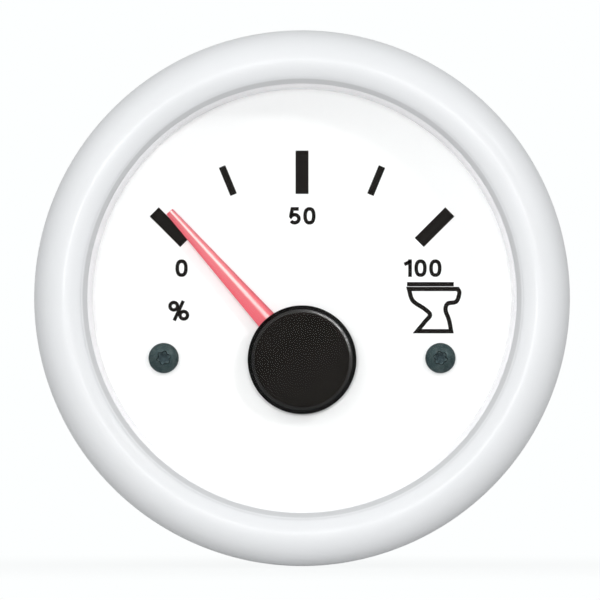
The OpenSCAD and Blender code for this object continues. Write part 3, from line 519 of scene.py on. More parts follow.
class Paint:
    """Builds the nodes of one material, or of the world."""

    def __init__(self, owner: bpy.types.Material | bpy.types.World) -> None:
        """Starts with the owner's nodes cleared.

        Args:
            owner: The material or world that the nodes belong to.
        """
        owner.use_nodes = True
        self.owner = owner
        self.tree = owner.node_tree
        self.tree.nodes.clear()

    @classmethod
    def named(cls, name: str) -> "Paint":
        """Starts an empty material."""
        return cls(bpy.data.materials.new(name))

    def node(self, kind: str, settings: dict[str, Any], sockets: dict[Any, Any]) -> Any:
        """Adds a node with its settings first, then the values or links of its sockets.

        Args:
            kind: Type of the node.
            settings: Properties, such as a Math node's operation.
            sockets: Input names or numbers with a value, a Wire or an output socket.

        Returns:
            The node.
        """
        made = self.tree.nodes.new(kind)
        for key, value in settings.items():
            setattr(made, key, value)
        for key, value in sockets.items():
            entry = made.inputs[key]
            if isinstance(value, Wire):
                value = value.socket
            if isinstance(value, bpy.types.NodeSocket):
                self.tree.links.new(value, entry)
            elif entry.type == "RGBA" and len(value) == 3:
                entry.default_value = (*value, 1.0)
            else:
                entry.default_value = value
        return made

    def place(self) -> Any:
        """Object coordinates of the surface."""
        return self.node("ShaderNodeTexCoord", {}, {}).outputs["Object"]

    def parts(self, vector: Any) -> tuple[Wire, Wire, Wire]:
        """The three numbers of a vector."""
        made = self.node("ShaderNodeSeparateXYZ", {}, {0: vector})
        return tuple(Wire(self, out) for out in made.outputs)

    def lathe(self) -> tuple[Wire, Wire, Wire]:
        """Radius and distance along the profile in millimetres, and the angle in turns."""
        made = self.node("ShaderNodeAttribute", {"attribute_name": "lathe"}, {})
        return self.parts(made.outputs["Vector"])

    def vector(self, x: Any, y: Any, z: Any) -> Any:
        """A vector of three values."""
        return self.node("ShaderNodeCombineXYZ", {}, {0: x, 1: y, 2: z}).outputs[0]

    def stretched(self, vector: Any, scale: tuple[float, float, float]) -> Any:
        """A vector with its parts scaled."""
        return self.node("ShaderNodeMapping", {}, {"Vector": vector, "Scale": scale}).outputs[0]

    def noise(self, size: float, detail: float = 2.0, rough: float = 0.5,
              vector: Any = None) -> Wire:
        """Cloudy noise from 0 to 1.

        Args:
            size: Size of its features in millimetres, or in the vector's own unit.
            detail: Number of finer layers.
            rough: Strength of the finer layers.
            vector: Coordinates, or None for the object's own.

        Returns:
            The noise.
        """
        scale = 1 / (size * MM) if vector is None else 1 / size
        made = self.node("ShaderNodeTexNoise", {}, {
            "Vector": self.place() if vector is None else vector, "Scale": scale,
            "Detail": detail, "Roughness": rough})
        return Wire(self, made.outputs[0])

    def cells(self, size: float) -> Wire:
        """Distance to the nearest of scattered points, for grains and spangle.

        Args:
            size: Distance between the points in millimetres.

        Returns:
            The distance, in units of the size.
        """
        made = self.node("ShaderNodeTexVoronoi", {}, {
            "Vector": self.place(), "Scale": 1 / (size * MM)})
        return Wire(self, made.outputs["Distance"])

    def blend(self, share: Any, a: Any, b: Any) -> Any:
        """A colour that goes from a to b as share goes from 0 to 1."""
        made = self.node("ShaderNodeMix", {"data_type": "RGBA"}, {0: share, 6: a, 7: b})
        return made.outputs[2]

    def mixed(self, share: Wire, a: Any, b: Any) -> Any:
        """Ends the material with a mix of two shaders.

        Args:
            share: Share of the second shader.
            a: The first shader's node.
            b: The second shader's node.

        Returns:
            The finished material.
        """
        both = self.node("ShaderNodeMixShader", {}, {0: share, 1: a.outputs[0], 2: b.outputs[0]})
        self.node("ShaderNodeOutputMaterial", {}, {"Surface": both.outputs[0]})
        return self.owner

    def relief(self, height: Wire, depth: float) -> Any:
        """A normal from a height of 0 to 1 that stands for depth millimetres.

        Args:
            height: The height, from 0 to 1.
            depth: What a height of 1 stands for, in millimetres.

        Returns:
            The normal.
        """
        made = self.node("ShaderNodeBump", {}, {"Height": height, "Strength": 1.0,
                                                "Distance": depth * MM})
        return made.outputs[0]

    def finished(self, **sockets: Any) -> bpy.types.Material:
        """Ends the material with a Principled shader.

        Args:
            sockets: Its inputs, with underscores for spaces.

        Returns:
            The finished material.
        """
        named = {key.replace("_", " "): value for key, value in sockets.items()}
        shader = self.node("ShaderNodeBsdfPrincipled", {}, named)
        self.node("ShaderNodeOutputMaterial", {}, {"Surface": shader.outputs[0]})
        return self.owner


@dataclass(frozen=True)
class Moulding:
    """A moulded plastic: its colour, gloss and the fine grain of its mould."""

    name: str
    colour: Colour
    shade: Colour
    rough: float
    grain: float
    depth: float
    coat: float = 0.0
    shine: float = 0.5
    coat_rough: float = 0.08
    mottle: float = 0.3

    def material(self) -> bpy.types.Material:
        """Colour drifts between two shades; a cell-like grain lifts the surface.

        The shade's share is the drift, less of it where the mottle is strong, plus the fine
        noise's distance from its mean times the mottle, about a mean of one half.

        Returns:
            The finished material.
        """
        paint = Paint.named(self.name)
        drift = paint.noise(size=9.0, detail=3.0)
        pits = paint.cells(self.grain)
        fine = paint.noise(self.grain * 0.45, detail=3.0, rough=0.6)
        calm = max(0.0, 1 - self.mottle)
        share = drift.between(0.3, 0.7) * calm + (fine - 0.5) * self.mottle + (1 - calm) * 0.5
        return paint.finished(
            Base_Color=self.tone(paint, paint.blend(share, self.colour, self.shade)),
            Roughness=self.rough + (drift - 0.5) * 0.1 + (fine - 0.5) * 0.12,
            Specular_IOR_Level=self.shine, Coat_Weight=self.gloss(paint),
            Coat_Roughness=self.coat_rough,
            Normal=paint.relief(pits * 0.6 + fine * 0.4, self.depth))

    def tone(self, paint: Paint, colour: Any) -> Any:
        """The colour as it is; a finish that paints shade on a stretch of its surface changes it.
        """
        return colour

    def gloss(self, paint: Paint) -> Any:
        """The weight of the clear coat, the same all over."""
        return self.coat


@dataclass(frozen=True)
class RimmedMoulding(Moulding):
    """A round moulding whose colour and gloss change at a circle, where its rim begins; the darker
    colour on one side of the circle is painted shade.
    """

    rim_r: float = 0.0
    rim_w: float = 0.3
    inside: float = 1.0
    outside: float = 1.0
    rim_coat: float = 0.0

    def tone(self, paint: Paint, colour: Any) -> Any:
        """Darkens the colour to the share inside or outside of the circle: painted shade on that
        side.

        Args:
            paint: The material's builder.
            colour: The colour without the rim.

        Returns:
            The shaded colour.
        """
        radius, _, _ = paint.lathe()
        out = radius.between(self.rim_r - self.rim_w / 2, self.rim_r + self.rim_w / 2)
        # Painted shade: the colour is scaled by inside within the circle and by outside beyond it.
        share = self.inside + out * (self.outside - self.inside)
        return paint.blend(share, (0.0, 0.0, 0.0), colour)

    def gloss(self, paint: Paint) -> Any:
        """Adds rim_coat to the coat along the circle, which fades to both sides.

        Args:
            paint: The material's builder.

        Returns:
            The coat's weight.
        """
        radius, _, _ = paint.lathe()
        near = 1 - ((radius - self.rim_r) / self.rim_w).size().between(0.35, 0.5)
        return self.coat + near * self.rim_coat


@dataclass(frozen=True)
class Turned:
    """Metal cut on a lathe: rings of tool marks, drawn lines and a thin uneven tarnish."""

    name: str
    colour: Colour
    tarnish: Colour
    rough: float
    marks: float
    depth: float

    def material(self) -> bpy.types.Material:
        """Noise that is long round the axis and short along the profile makes the tool marks.

        Returns:
            The finished material.
        """
        paint = Paint.named(self.name)
        radius, run, turn = paint.lathe()
        track = paint.vector(radius, run, (turn * TURN).wave() * 0.3)
        lines = paint.noise(self.marks, detail=2.0, rough=0.6, vector=track)
        cloud = paint.noise(size=1.6, detail=4.0, rough=0.6)
        spots = paint.noise(size=0.35, detail=2.0).between(0.62, 0.75)
        return paint.finished(
            Base_Color=paint.blend(cloud.between(0.4, 0.72) * 0.7 + spots * 0.3,
                                   self.colour, self.tarnish),
            Metallic=1.0, Roughness=self.rough + (cloud - 0.5) * 0.25 + (lines - 0.5) * 0.16,
            Normal=paint.relief(lines, self.depth))


@dataclass(frozen=True)
class Plated:
    """Plated sheet or strip: rolled lines along one axis, cloudy plating and faint spangle."""

    name: str
    colour: Colour
    cloud: Colour
    rough: float
    grain: tuple[float, float, float]

    def material(self) -> bpy.types.Material:
        """Noise drawn out along the rolling direction makes the lines.

        Returns:
            The finished material.
        """
        paint = Paint.named(self.name)
        rolled = paint.stretched(paint.place(), tuple(g / MM for g in self.grain))
        lines = paint.noise(size=0.12, detail=3.0, rough=0.6, vector=rolled)
        clouds = paint.noise(size=3.2, detail=4.0, rough=0.62)
        spangle = paint.cells(size=0.8)
        return paint.finished(
            Base_Color=paint.blend(clouds.between(0.35, 0.7), self.colour, self.cloud),
            Metallic=1.0,
            Roughness=self.rough + (clouds - 0.5) * 0.22 + (spangle - 0.4) * 0.08,
            Normal=paint.relief(lines * 0.8 + spangle * 0.2, depth=0.006))


@dataclass(frozen=True)
class BlackedSteel:
    """Steel blackened in a hot bath: a blue-green sheen with browner patches."""

    name: str
    colour: Colour
    patch: Colour
    recess: Colour
    rough: float
    recess_r: tuple[float, float]

    def material(self) -> bpy.types.Material:
        """Patchy oxide over faint tool marks; in the recess, bare metal in a darker colour that is
        painted shade.

        Returns:
            The finished material.
        """
        paint = Paint.named(self.name)
        radius, run, _ = paint.lathe()
        marks = paint.noise(size=0.07, vector=paint.vector(radius, run, 0.0))
        patches = paint.noise(size=0.5, detail=4.0, rough=0.65)
        oxide = paint.blend(patches.between(0.4, 0.68), self.colour, self.patch)
        # Painted shade: the recess colour fills the screw's recess, inward of recess_r.
        out = radius.between(*self.recess_r)
        return paint.finished(
            Base_Color=paint.blend(out, self.recess, oxide), Metallic=1 - out * 0.45,
            Roughness=self.rough + (patches - 0.5) * 0.3,
            Normal=paint.relief(marks * 0.5 + patches * 0.5, depth=0.01))


@dataclass(frozen=True)
class Rubber:
    """Soft black rubber with a dusting of talc."""

    name: str
    colour: Colour

    def material(self) -> bpy.types.Material:
        """A fine pebbled skin with paler dust in patches.

        Returns:
            The finished material.
        """
        paint = Paint.named(self.name)
        dust = paint.noise(size=2.5, detail=5.0, rough=0.7).between(0.52, 0.8)
        pebbles = paint.cells(size=0.16)
        pale = tuple(c + 0.09 for c in self.colour)
        return paint.finished(
            Base_Color=paint.blend(dust * 0.6, self.colour, pale),
            Roughness=0.78 + (pebbles - 0.4) * 0.15, Specular_IOR_Level=0.3,
            Normal=paint.relief(pebbles, depth=0.012))


@dataclass(frozen=True)
class PrintedPlate:
    """The dial's matt printed face, with a very fine tooth."""

    name: str
    colour: Colour

    def material(self) -> bpy.types.Material:
        """A hint of uneven ink over a fine tooth.

        Returns:
            The finished material.
        """
        paint = Paint.named(self.name)
        tooth = paint.noise(size=0.06)
        drift = paint.noise(size=12.0)
        off = tuple(c * 0.985 for c in self.colour)
        return paint.finished(
            Base_Color=paint.blend(drift, self.colour, off),
            Roughness=0.62 + (tooth - 0.5) * 0.1, Specular_IOR_Level=0.3,
            Normal=paint.relief(tooth, depth=0.0012))


@dataclass(frozen=True)
class Ink:
    """Screen-printed ink, nearly black, with a slight tooth."""

    name: str
    colour: Colour

    def material(self) -> bpy.types.Material:
        """Dense ink that thins a little in tiny specks.

        Returns:
            The finished material.
        """
        paint = Paint.named(self.name)
        specks = paint.noise(size=0.09, detail=3.0).between(0.66, 0.8)
        pale = tuple(c + 0.02 for c in self.colour)
        return paint.finished(Base_Color=paint.blend(specks, self.colour, pale),
                              Roughness=0.55 + specks * 0.1, Specular_IOR_Level=0.05,
                              Normal=paint.relief(specks, depth=0.0015))


@dataclass(frozen=True)
class ClearSheet:
    """Clear plastic or glass: it mirrors more the flatter it is seen."""

    name: str
    least: float
    tint: Colour
    rough: float

    def material(self) -> bpy.types.Material:
        """A mirror's share is least + (1 - least) times (1 - cosine of the view angle) ** 5.

        Faces seen from inside the sheet mirror nothing.

        Returns:
            The finished material.
        """
        paint = Paint.named(self.name)
        back = Wire(paint, paint.node("ShaderNodeNewGeometry", {}, {}).outputs["Backfacing"])
        weight = paint.node("ShaderNodeLayerWeight", {}, {"Blend": 0.5})
        facing = Wire(paint, weight.outputs["Facing"])
        clear = paint.node("ShaderNodeBsdfTransparent", {}, {"Color": self.tint})
        gloss = paint.node("ShaderNodeBsdfPrincipled", {}, {
            "Base Color": (1.0, 1.0, 1.0), "Metallic": 1.0, "Roughness": self.rough})
        share = (self.least + (1 - self.least) * facing ** 5.0) * (1 - back)
        return paint.mixed(share, clear, gloss)


@dataclass(frozen=True)
class TintedBlade:
    """Translucent red moulding of the pointer, with a painted highlight along its ridge and
    painted shade along its right side.

    Places across the blade go from -1 at its left edge to 1 at its right.
    """

    name: str
    deep: Colour
    body: Colour
    pale: Colour
    edge: Colour
    highlight_at: float = 0.27
    highlight_w: float = 0.42
    root: tuple[float, float] = (6.0, 16.0)
    rim: tuple[float, float] = (0.7, 0.97)

    def material(self) -> bpy.types.Material:
        """Colour follows "lathe": first the place across the blade, then that along it; pale is
        the painted highlight, edge the painted shade, and the red deepens towards the left edge
        and the cap.

        Returns:
            The finished material.
        """
        paint = Paint.named(self.name)
        across, run, _ = paint.lathe()
        streak = paint.noise(size=0.5, detail=3.0,
                             vector=paint.vector(across * 1.5, run * 0.12, 0.0))
        wide = paint.blend((across + streak * 0.3).between(-1.0, -0.1), self.deep, self.body)
        # Painted highlight: the pale colour along the ridge, weaker near the cap.
        ridge = 1 - ((across - self.highlight_at) / self.highlight_w).size().between(0.1, 1.0)
        root = 1 - run.between(*self.root)
        lit = paint.blend(ridge * (0.6 + streak * 0.5) * (1 - root * 0.4),
                          paint.blend(root * 0.6, wide, self.deep), self.pale)
        # Painted shade: the edge colour along the blade's right side.
        return paint.finished(
            Base_Color=paint.blend(across.between(*self.rim), lit, self.edge),
            Roughness=0.26 + streak * 0.08, Subsurface_Weight=0.25,
            Subsurface_Radius=(1.0, 0.35, 0.35), Subsurface_Scale=0.0006, Coat_Weight=0.15,
            Coat_Roughness=0.1, Normal=paint.relief(streak, depth=0.004))


@dataclass(frozen=True)
class Winding:
    """Enamelled copper wire, wound side by side."""

    name: str
    colour: Colour
    wire: float = 0.2

    def material(self) -> bpy.types.Material:
        """Fine even ridges in both directions of the windings.

        Returns:
            The finished material.
        """
        paint = Paint.named(self.name)
        x, _, z = paint.parts(paint.place())
        ridge = ((x / (self.wire * MM)).wave() + (z / (self.wire * MM)).wave()) * 0.5
        tone = paint.noise(size=0.6, detail=3.0)
        dark = tuple(c * 0.6 for c in self.colour)
        return paint.finished(Base_Color=paint.blend(tone, self.colour, dark), Metallic=0.7,
                              Roughness=0.3 + tone * 0.15, Coat_Weight=0.5,
                              Normal=paint.relief(ridge, depth=0.05))


@dataclass(frozen=True)
class Board:
    """Green solder mask over copper tracks and small plated holes."""

    name: str
    mask: Colour
    track: Colour
    plating: Colour
    pitch: float = 2.54

    def material(self) -> bpy.types.Material:
        """Tracks follow a bent grid under the mask; plated dots sit in a loose square grid.

        Returns:
            The finished material.
        """
        paint = Paint.named(self.name)
        x, _, z = paint.parts(paint.place())
        column, row = x / (self.pitch * MM), z / (self.pitch * MM)
        bend = paint.noise(size=7.0, detail=1.0) * 3.0
        tracks = 1 - ((column + bend) % 1.0 - 0.5).size().between(0.12, 0.2)
        free = paint.noise(size=4.0, detail=1.0).between(0.45, 0.55)
        dots = (column % 1.0 - 0.5) ** 2.0 + (row % 1.0 - 0.5) ** 2.0
        pads = 1 - dots.between(0.03, 0.045)
        masked = paint.blend(tracks * free, self.mask, self.track)
        return paint.finished(
            Base_Color=paint.blend(pads * free, masked, self.plating),
            Roughness=0.32 + pads * 0.1, Coat_Weight=0.3,
            Normal=paint.relief(tracks * free + pads * free * 0.5, depth=0.03))


class Finish(Enum):
    """Every finish of the gauge."""

    # Painted shade: inside=0.75 darkens the bezel towards its inner lip, fully inward of r 25.25
    # and fading out by r 25.47.
    BEZEL_WHITE = RimmedMoulding("bezel_white", (0.747, 0.757, 0.772), (0.732, 0.744, 0.757), 0.44,
                                 0.5, 0.0006, 0.05, 0.3, rim_r=25.36, rim_w=0.22, inside=0.75)
    RING_WHITE = Moulding("ring_white", (0.96, 0.95, 0.985), (0.94, 0.93, 0.965), 0.25, 0.3,
                          0.0008, coat=1.0)
    HOUSING_BLACK = Moulding("housing_black", (0.016, 0.016, 0.018), (0.026, 0.026, 0.028), 0.46,
                             0.28, 0.02, shine=0.4)
    # Painted shade: outside=0.1 darkens the cap's steep side to a tenth, fading in from r 5.47 to
    # full at r 5.89; rim_coat is gloss along r 5.68.
    CAP_BLACK = RimmedMoulding("cap_black", (0.0, 0.0, 0.0), (0.0046, 0.0036, 0.0028), 0.48, 0.3,
                               0.016, shine=0.02, coat_rough=0.36, mottle=2.4, rim_r=5.68,
                               rim_w=0.42, outside=0.1, rim_coat=0.5)
    CHIP_BLACK = Moulding("chip_black", (0.02, 0.02, 0.021), (0.03, 0.03, 0.03), 0.55, 0.12,
                          0.01)
    BOBBIN_AMBER = Moulding("bobbin_amber", (0.62, 0.5, 0.28), (0.56, 0.44, 0.23), 0.4, 0.4,
                            0.004)
    LAMP_YELLOW = Moulding("lamp_yellow", (0.85, 0.78, 0.32), (0.88, 0.84, 0.5), 0.3, 0.2, 0.003)
    SEAL_RUBBER = Rubber("seal_rubber", (0.012, 0.012, 0.012))
    DIAL_WHITE = PrintedPlate("dial_white", (0.97, 0.97, 0.97))
    DIAL_INK = Ink("dial_ink", (0.006, 0.0045, 0.0036))
    # The third colour is painted shade for the recess of the screw heads.
    SCREW_BLACK = BlackedSteel("screw_black", (0.018, 0.038, 0.041), (0.045, 0.066, 0.066),
                               (0.012, 0.018, 0.02), 0.42, recess_r=(0.45, 0.9))
    LENS_CLEAR = ClearSheet("lens_clear", 0.004, (0.998, 1.0, 0.999), 0.03)
    GUIDE_CLEAR = ClearSheet("guide_clear", 0.05, (0.93, 0.96, 0.97), 0.12)
    # The pale colour is a painted highlight on the ridge; the edge colour is painted shade on the
    # right side.
    POINTER_RED = TintedBlade("pointer_red", (0.84, 0.11, 0.15), (0.86, 0.19, 0.225),
                              (0.98, 0.53, 0.5), (0.62, 0.11, 0.14))
    BRASS_BARE = Turned("brass_bare", (0.78, 0.55, 0.26), (0.56, 0.36, 0.15), 0.3, 0.1, 0.008)
    TINNED_BRASS = Plated("tinned_brass", (0.72, 0.72, 0.69), (0.6, 0.6, 0.57), 0.32,
                          (1.0, 0.1, 1.0))
    ZINC_PLATE = Turned("zinc_plate", (0.66, 0.69, 0.72), (0.5, 0.53, 0.55), 0.3, 0.12, 0.006)
    STEEL_BRIGHT = Plated("steel_bright", (0.66, 0.67, 0.69), (0.52, 0.53, 0.56), 0.28,
                          (1.0, 0.12, 1.0))
    CAN_ALUMINIUM = Plated("can_aluminium", (0.76, 0.77, 0.78), (0.66, 0.67, 0.68), 0.3,
                           (1.0, 0.2, 1.0))
    MAGNET_GREY = Moulding("magnet_grey", (0.07, 0.07, 0.075), (0.11, 0.11, 0.11), 0.5, 0.1,
                           0.01, shine=0.8)
    WINDING_COPPER = Winding("winding_copper", (0.72, 0.3, 0.12))
    BOARD_GREEN = Board("board_green", (0.012, 0.13, 0.05), (0.03, 0.22, 0.08),
                        (0.75, 0.72, 0.6))

    def on(self, piece: bpy.types.Object) -> None:
        """Gives a piece this finish.

        Args:
            piece: The piece.
        """
        if not piece.data.materials:
            piece.data.materials.append(None)
        for slot in piece.material_slots:
            slot.material = material_of(self)


@cache
def material_of(finish: Finish) -> bpy.types.Material:
    """The material of a finish, made the first time that it is asked for."""
    return finish.value.material()


# The gauge.


@dataclass
class Assembly:
    """A group of pieces that belongs to the gauge."""

    made: list[str] = field(default_factory=list)

    def keep(self, piece: bpy.types.Object, finish: Finish, body: str, *nodes: str) -> None:
        """Dresses a new piece, hangs it on its body and hides the CAD nodes that it stands for.

        Args:
            piece: The new piece.
            finish: Its finish.
            body: The body it moves with.
            nodes: The CAD nodes that it stands for.
        """
        finish.on(piece)
        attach(piece, body)
        if nodes:
            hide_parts(*nodes)
        self.made.append(piece.name)
        LOG.info("%s: %s on %s, %d faces", type(self).__name__, piece.name, body,
                 len(piece.data.polygons))

    def dress(self, finish: Finish, *nodes: str) -> None:
        """Gives CAD nodes that are shown as they are their finish.

        Args:
            finish: The finish.
            nodes: Names of the nodes.
        """
        for node in nodes:
            finish.on(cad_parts[node])
            self.made.append(node)
            LOG.info("%s: %s dressed", type(self).__name__, node)


@dataclass
class Front(Assembly):
    """Bezel, lens, seal and white inner ring."""

    bezel_r: float = 31.0
    window_r: float = 25.25
    shoulder_r: float = 3.6
    lip_r: float = 0.8
    crown_r: float = 8.0
    crown_fall: float = 0.25
    z_flange: float = 1.0
    z_seal: float = 6.7
    z_lens: float = 7.2
    z_glass: float = 8.8
    z_crest: float = 10.394
    head_r: float = 28.4
    pocket_r: float = 26.85
    dial_view_r: float = 24.25
    ring_r: float = 26.7
    lens_r: float = 26.75
    seal_in_r: float = 25.55
    seal_out_r: float = 26.65

    def bezel_front(self) -> Array:
        """Section of the bezel's front, of three arcs whose circles touch one another.

        The crown's circle holds the shoulder's and the lip's and touches both, so its centre
        is as far from theirs as the radii differ, where two circles about them cross. With
        these radii it touches the shoulder's circle beyond the lip's, so the crown's arc runs
        back outwards and leaves a thin edge that reaches 0.43 into the window, as in the CAD.

        Returns:
            Points (r, z) from the outer side to the window.
        """
        shoulder = np.array([self.bezel_r - self.shoulder_r, self.z_crest - self.shoulder_r])
        lip = np.array([self.window_r + self.lip_r, self.z_crest - self.crown_fall - self.lip_r])
        span = float(np.linalg.norm(lip - shoulder))
        unit = (lip - shoulder) / span
        near, far = self.crown_r - self.shoulder_r, self.crown_r - self.lip_r
        reach = (near ** 2 - far ** 2 + span ** 2) / (2 * span)
        depth = math.sqrt(near ** 2 - reach ** 2)
        crown = shoulder + reach * unit + depth * np.array([unit[1], -unit[0]])
        a_shoulder = math.atan2(*(shoulder - crown)[::-1])
        a_lip = math.atan2(*(lip - crown)[::-1])
        return np.concatenate([
            arc_points(shoulder, self.shoulder_r, 0, a_shoulder, steps=24),
            arc_points(crown, self.crown_r, a_shoulder, a_lip, steps=24)[1:],
            arc_points(lip, self.lip_r, a_lip, math.pi, steps=16)[1:]])

    def bezel_back(self) -> Array:
        """Section of the bezel's back: the lens pocket, the bore and the flange.

        Returns:
            Points (r, z) from the window to the outer side.
        """
        lip_foot, fine, edge, rim_edge, side_foot = 0.5, 0.1, 0.2, 0.5, 2.0
        return filleted([
            (self.window_r, self.z_glass + lip_foot, 0), (self.window_r, self.z_glass, fine),
            (self.pocket_r, self.z_glass, 0), (self.pocket_r, self.z_seal, fine),
            (self.head_r, self.z_seal, edge), (self.head_r, self.z_flange, edge),
            (self.bezel_r, self.z_flange, rim_edge),
            (self.bezel_r, self.z_flange + side_foot, 0)], closed=False)

    def ring_section(self) -> Array:
        """Section of the inner ring: a cone from the lens down to the dial.

        Returns:
            Points (r, z) of the closed outline.
        """
        tip, edge, crest = 0.03, 0.1, 0.12
        return filleted([(self.dial_view_r, Z_DIAL, tip), (self.ring_r, Z_DIAL, edge),
                         (self.ring_r, self.z_seal, edge), (self.window_r, self.z_seal, crest)],
                        closed=True)

    def build(self) -> None:
        """Makes the four turned pieces."""
        bezel = Skin("bezel_ring")
        turned(bezel, np.concatenate([self.bezel_front(), self.bezel_back()]), steps=256)
        self.keep(bezel.piece(), Finish.BEZEL_WHITE, "case", "bezel")
        ring = Skin("white_ring")
        turned(ring, self.ring_section(), steps=192)
        self.keep(ring.piece(), Finish.RING_WHITE, "case", "inner_ring")
        lens = Skin("lens_disc")
        turned(lens, disc_profile(self.lens_r, self.z_lens, self.z_glass, edge=0.2), steps=160,
               closed=False)
        self.keep(lens.piece(), Finish.LENS_CLEAR, "case", "lens")
        seal = Skin("lens_seal_ring")
        turned(seal, ring_profile(self.seal_in_r, self.seal_out_r, self.z_seal, self.z_lens,
                                  edge=0.15), steps=128)
        self.keep(seal.piece(), Finish.SEAL_RUBBER, "case", "lens_seal")


@dataclass(frozen=True)
class Figure:
    """One sign of the print, 0, 1, 5 or %, as strokes of even width.

    The full sizes are those of a 0 of the full height; other heights scale them.
    """

    sign: str
    left: float
    base: float
    h: float
    full_h: float = 2.03
    full_w: float = 1.42
    full_pen: float = 0.42
    full_gap: float = 0.3

    def scaled(self, full: float) -> float:
        """A full size at this sign's height."""
        return full * self.h / self.full_h

    def width(self) -> float:
        """The width that the sign takes, without the space after it.

        Returns:
            The width in millimetres.
        """
        one_share, percent_share = 0.62, 1.05
        if self.sign == "%":
            return self.h * percent_share
        return self.scaled(self.full_w) * (one_share if self.sign == "1" else 1)

    def pen(self) -> float:
        """Width of its strokes; those of the % are finer."""
        return self.scaled(self.full_pen) * (0.85 if self.sign == "%" else 1)

    def strokes(self) -> list[Stroke]:
        """The paths of its strokes, each with True if it closes."""
        return {"0": self.zero, "1": self.one, "5": self.five, "%": self.percent}[self.sign]()

    def zero(self) -> list[Stroke]:
        """A superellipse: both coordinates are powers of the cosine and sine, with signs.

        Returns:
            The strokes, each a path with True if it closes.
        """
        w, s, bow, steps = self.width(), self.pen(), 0.82, 48
        a = np.arange(steps) * TURN / steps
        x = np.sign(np.cos(a)) * np.abs(np.cos(a)) ** bow * (w - s) / 2
        y = np.sign(np.sin(a)) * np.abs(np.sin(a)) ** bow * (self.h - s) / 2
        return [(np.stack([self.left + w / 2 + x, self.base + self.h / 2 + y], axis=-1), True)]

    def one(self) -> list[Stroke]:
        """A stem, and a flag that bends down to the left from its top.

        Returns:
            The strokes, each a path with True if it closes.
        """
        w, s, top = self.width(), self.pen(), self.base + self.h
        stem = self.left + w - s / 2
        bend, tip = self.base + self.h * 0.8, self.base + self.h * 0.72
        flag = filleted([(stem, top - s * 0.55, 0), (self.left + w * 0.45, bend, 0.5),
                         (self.left, tip, 0)], closed=False)
        return [(np.array([[stem, self.base], [stem, top]]), False), (flag, False)]

    def five(self) -> list[Stroke]:
        """A bar, a short drop and a bowl, which is an open ellipse.

        Returns:
            The strokes, each a path with True if it closes.
        """
        w, s, opening, steps = self.width(), self.pen(), 2.55, 28
        bowl_h = self.h * 0.335 - s / 2
        bowl = arc_points((0, 0), 1.0, opening, -opening, steps) * [(w - s) / 2, bowl_h]
        bowl += [self.left + w / 2, self.base + s / 2 + bowl_h]
        bar_y = self.base + self.h - s / 2
        bar = np.array([[self.left + w - s / 2 - 0.02, bar_y],
                        [self.left + s / 2 + w * 0.16, bar_y]])
        return [(np.concatenate([bar, bowl[:1] + [-0.02, 0.03], bowl]), False)]

    def percent(self) -> list[Stroke]:
        """Two circles and a slash between them.

        Returns:
            The strokes, each a path with True if it closes.
        """
        w, r, steps, lean = self.width(), self.h * 0.19, 27, 0.28
        inset = r + self.scaled(self.full_pen) * 0.4
        right, top = self.left + w, self.base + self.h
        centres = ((self.left + inset, top - inset), (right - inset, self.base + inset))
        circles = [(arc_points(centre, r, 0, TURN * steps / (steps + 1), steps), True)
                   for centre in centres]
        slash = np.array([[self.left + w * lean, self.base], [right - w * lean, top]])
        return [*circles, (slash, False)]


